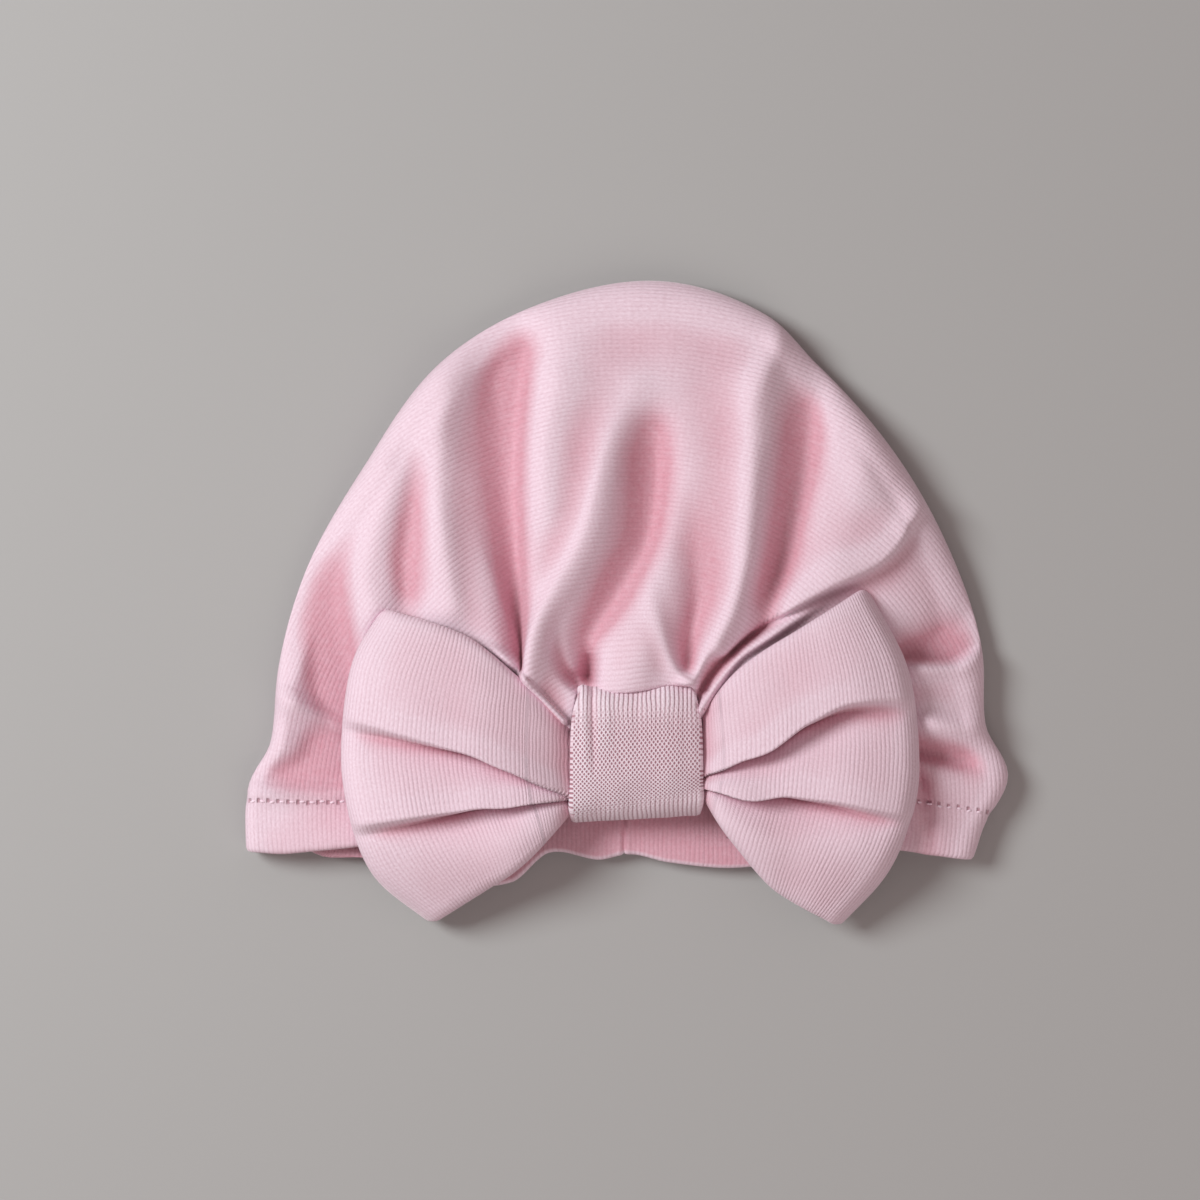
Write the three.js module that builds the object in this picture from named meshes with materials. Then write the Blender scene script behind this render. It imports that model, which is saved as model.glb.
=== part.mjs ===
// Baby turban headwrap, lying on its back with the bow up.
// Millimetres. X runs across the hem, Y towards the crown, Z up from the surface that it lies on.
// Three pieces of cloth: the hollow cap, the bow (one ring of doubled cloth) and the knot band.

import * as THREE from 'three';

// Driving sizes
const CLOTH = 1.4;
const HEM_CLOTH = 2.3;
const HEM_DEPTH = 11;
const BUNCH_CLOTH = 3.2;
const BOW_CLOTH = 2.0;
const BAND_CLOTH = 2.2;
const RIM_LEVEL = 4.6;
const RIM_ROLL = 7;
const UNDER_BOW = 10.4;
const BUNCH_TOP = 10.2;

// Middle of the gather: every fold of the cap runs towards it
const GATHER = { x: 1.5, y: -49.4, left: -12.5, right: 14.5 };

// Rim of the cap seen from above: direction in degrees and distance from the gather.
// The first and last rows are the corners where the front hem meets the back one.
const HEM_TURN = { left: 185.2, right: -7.5 };
const RIM = [
  { turn: HEM_TURN.right, reach: 80.6 },
  { turn: -2, reach: 82.6 },
  { turn: 5.5, reach: 88.4 },
  { turn: 14, reach: 85.2 },
  { turn: 25, reach: 90.3 },
  { turn: 40, reach: 96.6 },
  { turn: 55, reach: 105 },
  { turn: 68, reach: 114 },
  { turn: 75, reach: 121 },
  { turn: 87, reach: 125.2 },
  { turn: 100, reach: 122 },
  { turn: 113, reach: 115.6 },
  { turn: 128, reach: 103.5 },
  { turn: 145, reach: 95.6 },
  { turn: 158, reach: 90.6 },
  { turn: 169, reach: 87.4 },
  { turn: 176, reach: 91.2 },
  { turn: HEM_TURN.left, reach: 92 },
];

// Free edge of the back panel, from the left side to the right
const BACK_HEM = [
  { x: -60, y: -60.5 },
  { x: -44, y: -65.5 },
  { x: -28, y: -65 },
  { x: -19, y: -58 },
  { x: -7, y: -59.6 },
  { x: 0, y: -58.2 },
  { x: 10, y: -60.3 },
  { x: 26, y: -61.6 },
  { x: 60, y: -58 },
];

// Height of the front panel from the gather (0) to the rim (1), before its folds
const SWELL = [
  { along: 0, height: 14.5 },
  { along: 0.28, height: 16 },
  { along: 0.5, height: 15.4 },
  { along: 0.72, height: 13.8 },
  { along: 0.88, height: 11.8 },
  { along: 1, height: 9.8 },
];

// Folds of the front panel: height above the swell, or below it where it is a valley,
// width to the left and right of the line when looking along it, and the line itself.
const FOLDS = [
  { name: 'left ridge', height: 2.6, left: 4, right: 5,
    line: [[-44, 53], [-45.5, 35], [-49, 18], [-45, -3]] },
  { name: 'left valley', height: -4.4, left: 5.5, right: 5.5,
    line: [[-34, 64], [-37, 47], [-35, 24], [-27, -8]] },
  { name: 'shoulder', height: 2, left: 6, right: 5, line: [[-24, 52], [-24.5, 36], [-23, 22]] },
  { name: 'rolled ridge', height: 4.8, left: 5, right: 3.2,
    line: [[-5, 44], [-9, 31], [-11.5, 19], [-20, 5], [-24, -7], [-17, -17]] },
  { name: 'inner valley', height: -3.2, left: 4, right: 3.5,
    line: [[1, 38], [0.4, 19], [-4.5, 7.5], [-10.5, -10]] },
  { name: 'middle swell', height: 3.8, left: 8, right: 8, line: [[6, 16], [4, 0], [3, -15]] },
  { name: 'small ridge', height: 1.6, left: 2.6, right: 2.6,
    line: [[5, 10], [5.5, -3], [8.5, -9], [14, -18]] },
  { name: 'small valley', height: -2.6, left: 3, right: 3, line: [[18, 13], [17, 1], [13.5, -5]] },
  { name: 'right ridge', height: 4.6, left: 4.5, right: 5,
    line: [[25, 48], [23, 29], [24.6, 10], [25.7, 0], [22, -9], [16.5, -17]] },
  { name: 'right valley', height: -4.2, left: 5, right: 5,
    line: [[37, 46], [35.6, 31], [33, 10], [29.5, -4], [23, -13]] },
  { name: 'side ridge', height: 2.8, left: 5.5, right: 6, line: [[53, 45], [50, 26], [44, 9]] },
  { name: 'side valley', height: -1.8, left: 3, right: 3.5, line: [[64, 36], [59, 22], [53, 12]] },
  { name: 'fold over the right wing', height: 3.4, left: 7, right: 2.4,
    line: [[66, 24], [61, 13], [45, 2.6], [26, -9.5], [18, -18]] },
  { name: 'fold over the left wing', height: 2, left: 2.4, right: 5,
    line: [[-64, 4], [-46, 0.5], [-30, -9], [-20, -17]] },
  { name: 'left side ridge', height: 1.6, left: 5, right: 6, line: [[-62, 22], [-67, 4], [-72, -18]] },
  { name: 'left side valley', height: -1.6, left: 4, right: 4, line: [[-50, 30], [-56, 8], [-60, -6]] },
  { name: 'crown crease', height: -1.2, left: 3, right: 3.5, line: [[-16, 60], [10, 61.5], [38, 58]] },
  { name: 'left hem crease', height: -2.8, left: 3, right: 3, line: [[-90, -39], [-76, -38], [-66, -36]] },
  { name: 'right upper crease', height: -2, left: 2.6, right: 2.6, line: [[86, -13], [78, -9.5], [70, -8]] },
  { name: 'right hem crease', height: -2.6, left: 3, right: 3, line: [[90, -34], [78, -34], [67, -31]] },
];

// Bow: height of the wings' cloth from the waist (0) to the outer end (1)
const BOW_FRONT = [
  { along: 0, height: 15.4 },
  { along: 0.14, height: 18.6 },
  { along: 0.4, height: 22 },
  { along: 0.7, height: 22.6 },
  { along: 0.9, height: 21 },
  { along: 1, height: 19 },
];
const BOW_BACK = 11.2;
const BOW_DROOP = { from: -54, to: -76, lowest: 2.6 };
const WAIST = { top: 15.4, roll: 2.4 };
// Pleats: how deep, how wide as a share of the wing's half height, and how far the edges sink
const PLEAT = { depth: 4.6, width: 0.145, edge: 3 };

// Wings seen from above: the middle line and the outer end, each from the lower edge to the upper,
// and the two pleats, as places across the wing at the waist and at the end (-1 lower, 1 upper)
const WINGS = [
  {
    name: 'left',
    waist: { x: -15.6, low: -49.3, high: -25.2 },
    middle: [[-31, -66.2], [-41, -38], [-37, -8.5]],
    end: [[-46.6, -75.9], [-60, -64], [-66, -47], [-67.2, -32], [-64.6, -14], [-57.7, -1.4]],
    pleats: [{ waist: -0.5, end: -0.6 }, { waist: -0.16, end: 0.36 }],
  },
  {
    name: 'right',
    waist: { x: 17.6, low: -47, high: -26 },
    middle: [[34, -67.6], [42, -36], [38.5, -10.5]],
    end: [[49.7, -76.6], [60.5, -64], [66.2, -50], [68, -37], [65.5, -16], [56.5, 2]],
    pleats: [{ waist: -0.5, end: -0.52 }, { waist: -0.2, end: 0.42 }],
  },
];

// Knot band: its middle line in the plane across the hem, from its upper end, over the bow's waist,
// round the front hem and into the cap
const BAND_LINE = [
  [-21, 11.2], [-20.8, 15.4], [-23.6, 18.2], [-29, 19.3], [-36, 19.7], [-43, 19.2], [-49.2, 17.2],
  [-52.3, 13.2], [-52.7, 8.4], [-50.8, 5.4], [-46, 4.9], [-38, 4.9], [-30, 4.9],
];
const BAND = { middle: 1, half: 15.2, narrow: 1.6, roll: 1.3 };

function clamp01(value) {
  return Math.min(1, Math.max(0, value));
}

function mix(a, b, share) {
  return a + (b - a) * share;
}

function ease(from, to, value) {
  const share = clamp01((value - from) / (to - from));
  return share * share * (3 - 2 * share);
}

// Smooth curve through the rows of a table, without overshoot
function through(rows, key, value) {
  const sorted = [...rows].sort((a, b) => a[key] - b[key]);
  const slope = (i) => {
    const before = sorted[Math.max(0, i - 1)];
    const after = sorted[Math.min(sorted.length - 1, i + 1)];
    return (after[value] - before[value]) / (after[key] - before[key]);
  };
  return (at) => {
    let i = 0;
    while (i < sorted.length - 2 && at > sorted[i + 1][key]) i += 1;
    const span = sorted[i + 1][key] - sorted[i][key];
    const s = clamp01((at - sorted[i][key]) / span);
    const s2 = s * s;
    const s3 = s2 * s;
    return (2 * s3 - 3 * s2 + 1) * sorted[i][value] + (s3 - 2 * s2 + s) * span * slope(i)
      + (3 * s2 - 2 * s3) * sorted[i + 1][value] + (s3 - s2) * span * slope(i + 1);
  };
}

// Point on a smooth line through a few points, at a share of its run
function alongLine(points) {
  const rows = points.map((point, i) => ({ at: i / (points.length - 1), x: point[0], y: point[1] }));
  const x = through(rows, 'at', 'x');
  const y = through(rows, 'at', 'y');
  return (share) => [x(share), y(share)];
}

const rimReach = through(RIM, 'turn', 'reach');
const backHemY = through(BACK_HEM, 'x', 'y');
const swell = through(SWELL, 'along', 'height');
const bowFront = through(BOW_FRONT, 'along', 'height');

// Signed distance from a line of points, positive on its right, with how far along the foot lies
function offLine(line, x, y) {
  let best = { off: Infinity, side: 1, along: 0 };
  for (let i = 0; i + 1 < line.length; i += 1) {
    const [ax, ay] = line[i];
    const dx = line[i + 1][0] - ax;
    const dy = line[i + 1][1] - ay;
    const share = clamp01(((x - ax) * dx + (y - ay) * dy) / (dx * dx + dy * dy));
    const off = Math.hypot(x - ax - share * dx, y - ay - share * dy);
    if (off < best.off) {
      const side = dx * (y - ay) - dy * (x - ax) < 0 ? 1 : -1;
      best = { off, side, along: (i + share) / (line.length - 1) };
    }
  }
  return best;
}

function foldHeight(fold, x, y) {
  const foot = offLine(fold.line, x, y);
  const width = foot.side > 0 ? fold.right : fold.left;
  const across = foot.off / width;
  const fade = ease(-0.25, 0.2, foot.along) * ease(1.35, 0.8, foot.along);
  return fold.height * fade / (1 + across * across) ** 2;
}

// Wings in plan: a place from the waist (0) to the end (1) and across (-1 to 1)
const wingPlans = WINGS.map((wing) => {
  const middle = alongLine(wing.middle);
  const end = alongLine(wing.end);
  return (along, across) => {
    const share = (across + 1) / 2;
    const waist = [wing.waist.x, mix(wing.waist.low, wing.waist.high, share)];
    const [mx, my] = middle(share);
    const [ex, ey] = end(share);
    const a = (1 - along) * (1 - 2 * along);
    const b = 4 * along * (1 - along);
    const c = along * (2 * along - 1);
    return [a * waist[0] + b * mx + c * ex, a * waist[1] + b * my + c * ey];
  };
});

const footprints = wingPlans.map((plan) => {
  const steps = 8;
  const edge = [];
  for (let i = 0; i <= steps; i += 1) edge.push(plan(i / steps, -1));
  for (let i = 1; i <= steps; i += 1) edge.push(plan(1, -1 + 2 * i / steps));
  for (let i = steps - 1; i >= 0; i -= 1) edge.push(plan(i / steps, 1));
  edge.push(edge[0]);
  return edge;
});
const knotPrint = [[-16, -56], [18, -56], [18, -18.8], [-16, -18.8], [-16, -56]];
const BESIDE_WINGS = { pressed: 3.4, free: 9 };
const BESIDE_KNOT = { pressed: 0.8, free: 5 };

// How far a place lies outside an outline, negative inside it
function outside(outline, x, y) {
  let inside = false;
  for (let i = 0; i + 1 < outline.length; i += 1) {
    const [ax, ay] = outline[i];
    const [bx, by] = outline[i + 1];
    if ((ay > y) !== (by > y) && x < ax + (y - ay) / (by - ay) * (bx - ax)) inside = !inside;
  }
  const { off } = offLine(outline, x, y);
  return inside ? -off : off;
}

// Height of the front panel's outer face
function frontHeight(x, y) {
  const dx = x - GATHER.x;
  const dy = y - GATHER.y;
  const turn = THREE.MathUtils.radToDeg(Math.atan2(dy, dx));
  const positive = turn < -90 ? turn + 360 : turn;
  const along = Math.hypot(dx, dy) / rimReach(positive);
  const side = ease(2, 42, positive) * ease(178, 138, positive);
  let height = swell(along) * mix(0.78, 1, side);
  for (const fold of FOLDS) height += foldHeight(fold, x, y) * ease(1.02, 0.86, along);
  const clearOfWings = Math.min(...footprints.map((print) => outside(print, x, y)));
  const freeOfWings = ease(BESIDE_WINGS.pressed, BESIDE_WINGS.free, clearOfWings);
  height = mix(Math.min(height, UNDER_BOW), height, freeOfWings);
  const clearOfKnot = outside(knotPrint, x, y);
  return mix(Math.min(height, BUNCH_TOP), height, ease(BESIDE_KNOT.pressed, BESIDE_KNOT.free, clearOfKnot));
}

// Closed cloth from a grid of points: the outer face, the inner face and the strips along its edges.
// Where the grid closes on itself, the first row follows the last. Where a facing is given, it says
// which way the cloth looks at places that lie flat.
function clothFrom(rows, thickness, closesUp, facing = () => null) {
  const tall = rows.length;
  const wide = rows[0].length;
  const row = (i) => (closesUp ? (i + tall) % tall : THREE.MathUtils.clamp(i, 0, tall - 1));
  const column = (j) => THREE.MathUtils.clamp(j, 0, wide - 1);
  const normals = rows.map((line, i) => line.map((point, j) => {
    const down = rows[row(i + 1)][j].clone().sub(rows[row(i - 1)][j]);
    const over = rows[i][column(j + 1)].clone().sub(rows[i][column(j - 1)]);
    return down.cross(over).normalize();
  }));
  const positions = [];
  const place = (point) => positions.push(point.x, point.y, point.z);
  rows.forEach((line) => line.forEach(place));
  rows.forEach((line, i) => line.forEach((point, j) => {
    const soft = new THREE.Vector3();
    for (const [di, dj] of [[0, 0], [1, 0], [-1, 0], [0, 1], [0, -1]]) {
      soft.add(normals[row(i + di)][column(j + dj)]);
    }
    place(point.clone().addScaledVector(facing(point) ?? soft.normalize(), -thickness(point)));
  }));
  const inner = tall * wide;
  const at = (i, j) => row(i) * wide + j;
  const faces = [];
  const quad = (a, b, c, d) => faces.push(a, c, b, a, d, c);
  const lastRow = closesUp ? tall : tall - 1;
  for (let i = 0; i < lastRow; i += 1) {
    for (let j = 0; j + 1 < wide; j += 1) {
      quad(at(i, j), at(i, j + 1), at(i + 1, j + 1), at(i + 1, j));
      quad(inner + at(i, j), inner + at(i + 1, j), inner + at(i + 1, j + 1), inner + at(i, j + 1));
    }
    quad(at(i, 0), at(i + 1, 0), inner + at(i + 1, 0), inner + at(i, 0));
    quad(at(i + 1, wide - 1), at(i, wide - 1), inner + at(i, wide - 1), inner + at(i + 1, wide - 1));
  }
  if (!closesUp) {
    for (let j = 0; j + 1 < wide; j += 1) {
      quad(at(0, j + 1), at(0, j), inner + at(0, j), inner + at(0, j + 1));
      quad(at(tall - 1, j), at(tall - 1, j + 1), inner + at(tall - 1, j + 1), inner + at(tall - 1, j));
    }
  }
  const geometry = new THREE.BufferGeometry();
  geometry.setAttribute('position', new THREE.Float32BufferAttribute(positions, 3));
  geometry.setIndex(faces);
  return geometry;
}

// Directions of the cap's rows in degrees: close together where the folds are
const WIDE_STEP = 3.9;
const FOLD_STEP = 1.92;

function capTurns() {
  const turns = [];
  let turn = HEM_TURN.left;
  while (turn > HEM_TURN.right) {
    turns.push(turn);
    const inFolds = ease(30, 55, turn) * ease(140, 128, turn);
    turn -= mix(WIDE_STEP, FOLD_STEP, inFolds);
  }
  turns.push(HEM_TURN.right);
  return turns;
}

// Places along a row of the front panel, from the gather (0) to the roll of the rim (1),
// then the places round the roll, in degrees above the rim's level
const FRONT_STEPS = [0, 0.1, 0.19, 0.235, 0.27, 0.31, 0.355, 0.4, 0.45, 0.51, 0.58, 0.66, 0.75, 0.86, 1];
const ROLL_STEPS = [62, 32, 0, -38, -90];

function capRow(turn) {
  const share = (HEM_TURN.left - turn) / (HEM_TURN.left - HEM_TURN.right);
  const direction = new THREE.Vector2(1, 0).rotateAround(new THREE.Vector2(), THREE.MathUtils.degToRad(turn));
  const rim = new THREE.Vector2(GATHER.x, GATHER.y).addScaledVector(direction, rimReach(turn));
  const start = new THREE.Vector2(mix(GATHER.left, GATHER.right, share), GATHER.y);
  const ray = rim.clone().sub(start).normalize();
  const top = rim.clone().addScaledVector(ray, -RIM_ROLL);
  const row = FRONT_STEPS.map((step) => {
    const point = start.clone().lerp(top, step);
    return new THREE.Vector3(point.x, point.y, frontHeight(point.x, point.y));
  });
  const topHeight = row[row.length - 1].z;
  for (const degrees of ROLL_STEPS) {
    const angle = THREE.MathUtils.degToRad(degrees);
    const inset = RIM_ROLL * (1 - Math.cos(angle));
    const point = rim.clone().addScaledVector(ray, -inset);
    const rise = degrees > 0 ? (topHeight - RIM_LEVEL) * Math.sin(angle) : RIM_LEVEL * Math.sin(angle);
    row.push(new THREE.Vector3(point.x, point.y, RIM_LEVEL + rise));
  }
  const bottom = rim.clone().addScaledVector(ray, -RIM_ROLL);
  const hemX = mix(BACK_HEM[0].x, BACK_HEM[BACK_HEM.length - 1].x, share);
  const hem = new THREE.Vector2(hemX, backHemY(hemX));
  const length = hem.distanceTo(bottom);
  const insets = [length * 0.5, Math.min(length * 0.4, HEM_DEPTH + 2), Math.min(length * 0.3, HEM_DEPTH), 0];
  for (const inset of insets) {
    const point = hem.clone().lerp(bottom, inset / length);
    row.push(new THREE.Vector3(point.x, point.y, 0));
  }
  return row;
}

function buildCap() {
  const rows = capTurns().map(capRow);
  const leftHem = rows[0];
  const backHem = rows.map((line) => line[line.length - 1]);
  const rightHem = [...rows[rows.length - 1]].reverse();
  const hemLine = [...leftHem, ...backHem, ...rightHem].map((point) => [point.x, point.y]);
  const thickness = (point) => {
    const inKnot = ease(3, -3, outside(knotPrint, point.x, point.y)) * (point.z > 5 ? 1 : 0);
    const inHem = ease(HEM_DEPTH + 1, HEM_DEPTH - 1, offLine(hemLine, point.x, point.y).off);
    return mix(mix(CLOTH, HEM_CLOTH, inHem), BUNCH_CLOTH, inKnot);
  };
  const facing = (point) => {
    if (point.z === 0) return new THREE.Vector3(0, 0, -1);
    return outside(knotPrint, point.x, point.y) < 0 ? new THREE.Vector3(0, 0, 1) : null;
  };
  return clothFrom(rows, thickness, false, facing);
}

// Height of the bow's front cloth, with its pleats
function bowTop(wing, along, across) {
  let height = bowFront(along);
  for (const pleat of wing.pleats) {
    const from = (across - mix(pleat.waist, pleat.end, along ** 0.7)) / PLEAT.width;
    height -= PLEAT.depth * ease(0, 0.22, along) * ease(1.1, 0.8, along) / (1 + from * from) ** 2;
  }
  return height - mix(WAIST.roll, PLEAT.edge, ease(0, 0.3, along)) * across ** 4;
}

function bowBottom(y) {
  return mix(BOW_BACK, BOW_DROOP.lowest, ease(BOW_DROOP.from, BOW_DROOP.to, y));
}

const BACK_ALONG = [0, 0.16, 0.32, 0.5, 0.68, 0.84, 0.93];
const FRONT_ALONG = [0.93, 0.86, 0.76, 0.65, 0.54, 0.43, 0.32, 0.22, 0.12, 0.05];
const END_TURN = [{ along: 0.98, share: 0.16 }, { along: 1, share: 0.5 }, { along: 0.98, share: 0.84 }];
const ACROSS_STEPS = 18;
const WAIST_PLACES = [-9, 1, 11];
// Share of the back cloth's droop that the front cloth follows
const FRONT_FOLLOWS = 0.85;

function buildBow() {
  const places = [];
  for (let j = 0; j <= ACROSS_STEPS; j += 1) places.push(-1 + 2 * j / ACROSS_STEPS);
  const wingRow = (side, along, share) => places.map((across) => {
    const [x, y] = wingPlans[side](along, across);
    const low = bowBottom(y);
    const high = bowTop(WINGS[side], along, across) - FRONT_FOLLOWS * (BOW_BACK - low);
    return new THREE.Vector3(x, y, mix(low, high, share));
  });
  const waistRow = (x, share) => places.map((across) => {
    const [left, right] = WINGS.map((wing) => mix(wing.waist.low, wing.waist.high, (across + 1) / 2));
    const y = mix(left, right, (x - WINGS[0].waist.x) / (WINGS[1].waist.x - WINGS[0].waist.x));
    return new THREE.Vector3(x, y, share > 0 ? WAIST.top - WAIST.roll * across ** 4 : BOW_BACK);
  });
  const rows = [];
  for (const along of BACK_ALONG) rows.push(wingRow(0, along, 0));
  for (const turn of END_TURN) rows.push(wingRow(0, turn.along, turn.share));
  for (const along of FRONT_ALONG) rows.push(wingRow(0, along, 1));
  for (const x of WAIST_PLACES) rows.push(waistRow(x, 1));
  for (const along of [...FRONT_ALONG].reverse()) rows.push(wingRow(1, along, 1));
  for (const turn of [...END_TURN].reverse()) rows.push(wingRow(1, turn.along, turn.share));
  for (const along of [...BACK_ALONG].reverse()) rows.push(wingRow(1, along, 0));
  for (const x of [...WAIST_PLACES].reverse()) rows.push(waistRow(x, 0));
  return clothFrom(rows, () => BOW_CLOTH, true);
}

function buildBand() {
  const line = alongLine(BAND_LINE);
  const lengthwise = 32;
  const across = 8;
  const rows = [];
  for (let i = 0; i <= lengthwise; i += 1) {
    const share = i / lengthwise;
    const [y, z] = line(share);
    const [ny, nz] = line(Math.min(1, share + 0.01));
    const [py, pz] = line(Math.max(0, share - 0.01));
    const run = Math.hypot(ny - py, nz - pz);
    const outY = -(nz - pz) / run;
    const outZ = (ny - py) / run;
    const half = BAND.half - BAND.narrow * (1 - Math.sin(Math.PI * clamp01(share * 1.5)));
    const row = [];
    for (let j = 0; j <= across; j += 1) {
      const place = -1 + 2 * j / across;
      const out = BAND_CLOTH / 2 - BAND.roll * ease(0.52, 0.4, share) * ease(0.05, 0.2, share) * place ** 4;
      row.push(new THREE.Vector3(BAND.middle + place * half, y - out * outY, z - out * outZ));
    }
    rows.push(row);
  }
  return clothFrom(rows, () => BAND_CLOTH, false);
}

const materials = {
  cap: new THREE.MeshStandardMaterial({ color: 0xd9bcc6, roughness: 0.95, metalness: 0 }),
  bow: new THREE.MeshStandardMaterial({ color: 0xd6b8c2, roughness: 0.95, metalness: 0 }),
  knot_band: new THREE.MeshStandardMaterial({ color: 0xdcc2ca, roughness: 0.95, metalness: 0 }),
};

function pieceOf(name, geometry) {
  const mesh = new THREE.Mesh(geometry, materials[name]);
  mesh.name = name;
  return mesh;
}

const headwrap = new THREE.Group();
headwrap.add(pieceOf('cap', buildCap()));
headwrap.add(pieceOf('bow', buildBow()));
headwrap.add(pieceOf('knot_band', buildBand()));

// The origin lies under the middle of the whole piece, on the surface that it rests on
const box = new THREE.Box3().setFromObject(headwrap);
const middle = box.getCenter(new THREE.Vector3());
headwrap.position.set(-middle.x, -middle.y, -box.min.z);
headwrap.updateMatrixWorld(true);

export default headwrap;
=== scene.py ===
"""Baby turban headwrap of fine rib jersey, lying on its back with its bow up.

Laid out as a Blender add-on and run as a script. Blender's units are metres. The tables of the
cloth's lines and heights are in millimetres, in a frame that starts at the middle of the hat, and
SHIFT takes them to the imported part's own frame.
"""

import math

import bpy
import numpy as np
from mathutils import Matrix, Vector
from mathutils.bvhtree import BVHTree


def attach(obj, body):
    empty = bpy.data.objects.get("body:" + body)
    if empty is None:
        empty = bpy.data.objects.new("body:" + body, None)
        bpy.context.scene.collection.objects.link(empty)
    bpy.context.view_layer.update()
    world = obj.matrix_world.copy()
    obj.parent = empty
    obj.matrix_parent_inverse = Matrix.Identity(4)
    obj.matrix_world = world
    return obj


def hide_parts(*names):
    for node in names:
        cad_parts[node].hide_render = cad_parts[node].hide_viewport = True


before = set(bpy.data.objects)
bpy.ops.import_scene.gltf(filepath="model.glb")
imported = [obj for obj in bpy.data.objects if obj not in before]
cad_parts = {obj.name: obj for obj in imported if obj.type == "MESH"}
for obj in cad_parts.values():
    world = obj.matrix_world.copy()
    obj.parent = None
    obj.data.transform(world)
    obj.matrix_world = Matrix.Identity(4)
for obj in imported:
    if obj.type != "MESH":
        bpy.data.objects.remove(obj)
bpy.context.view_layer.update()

bl_info = {
    "name": "Turban Headwrap",
    "version": (1, 0, 0),
    "blender": (4, 5, 0),
    "location": "View3D > Sidebar > Headwrap",
    "description": "Builds a gathered jersey hat with a looped bow, a knot band and a studio stage",
    "category": "Add Mesh",
}

MM = 0.001
SHIFT = np.array([0.588, 0.431, 0.0])

# Middle of the gather, and the width of cloth that the knot band holds together
GATHER = {"x": 1.5, "y": -49.4, "left": -12.5, "right": 14.5}

# Rim of the cap seen from above: direction in degrees and distance from the gather.
# The first and last rows are the corners where the front hem meets the back one.
TURN_LEFT = 185.2
TURN_RIGHT = -7.5
RIM = [
    (TURN_RIGHT, 80.6), (-2, 82.6), (5.5, 88.4), (14, 85.2), (25, 90.3), (40, 96.6), (55, 105),
    (68, 114), (75, 121), (87, 125.2), (100, 122), (113, 115.6), (128, 103.5), (145, 95.6),
    (158, 90.6), (169, 87.4), (176, 91.2), (TURN_LEFT, 92),
]

# Free edge of the back panel, from the left side to the right
BACK_HEM = [
    (-60, -60.5), (-44, -65.5), (-28, -65), (-19, -58), (-7, -59.6), (0, -58.2), (10, -60.3),
    (26, -61.6), (60, -58),
]
# Depth of the turned hem, and how much less of it shows at the left
HEM_DEPTH = 11.0
HEM_NARROWS = 2.2

# Steps of the cap's grid round the rim's roll and along the back panel
ROLL_STEPS = 16
BACK_STEPS = 14

# Height of the front panel from the gather (0) to the rim (1), before its folds
SWELL = [(0, 14.5), (0.28, 16), (0.5, 15.4), (0.72, 13.8), (0.88, 11.8), (1, 9.8)]

# Height of the rim's outermost line, the width of its roll, and how much more its left side rises
RIM_LEVEL = 4.6
RIM_ROLL = 7.0
LEFT_RIM = 3.0

# Limits of the front panel's height: anywhere, under the wings, under the band, above it and far off
LOWEST_FRONT = 5.4
UNDER_BOW = 10.4
BUNCH_TOP = 10.2
KNOT_TOP = 20.4
FAR_TOP = 26

# Distances from a wing's outline and from the band's over which the cloth rises clear of them
BESIDE_WINGS = {"edge": -2.7, "near": 2.6, "far": 8.0}
BESIDE_KNOT = (0.0, 1.5)

# Lower edge of the gathered cloth, where it bulges over the knot band, and where it starts from
BULGE = [
    (-15, -18.6), (-11.4, -18.9), (-7, -20.6), (-3, -21.3), (3, -20.8), (8.3, -19.8), (13, -19.4),
    (17, -19.6),
]
BULGE_FROM = -19.0

# Cap: the cloth under the band, the groove of the stitch line with the places where it and its
# needle holes start, how far the left hem is drawn down, the back panel's edge, which is moved in at
# the sides and lifted between them, and the radius that gives the cloth's width round the gather
KNOT_CLOTH = 3.2
STITCH_GROOVE = {"depth": 0.4, "half": 0.9, "from": 18, "holes_from": 23}
DRAWN_HEM = 1.3
BACK_EDGE = {"moved": 2.4, "lifted": 3.0}
AROUND = 60

# Centre seam of the back panel: its place, and height and width of its ridge and of its groove
SEAM = {"x": -1.06, "ridge": (0.55, 2.2), "groove": (1.0, 0.55)}

# How far all three pieces are drawn up at the front hem: in the middle, and more for each millimetre
# to the right
TUCK = {"middle": 2.9, "slope": 0.062}

# Rows of hem stitches: side of the cap, and where they start and end. One stitch: its length as a
# share of the pitch, its radius, and how far it turns and shifts at most.
STITCH_ROWS = ((TURN_LEFT, "left", -88.4, -18), (TURN_RIGHT, "right", 19, 84))
STITCH = {"length": 0.56, "radius": 0.3, "turn": 0.24, "shift": 0.18}

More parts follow.
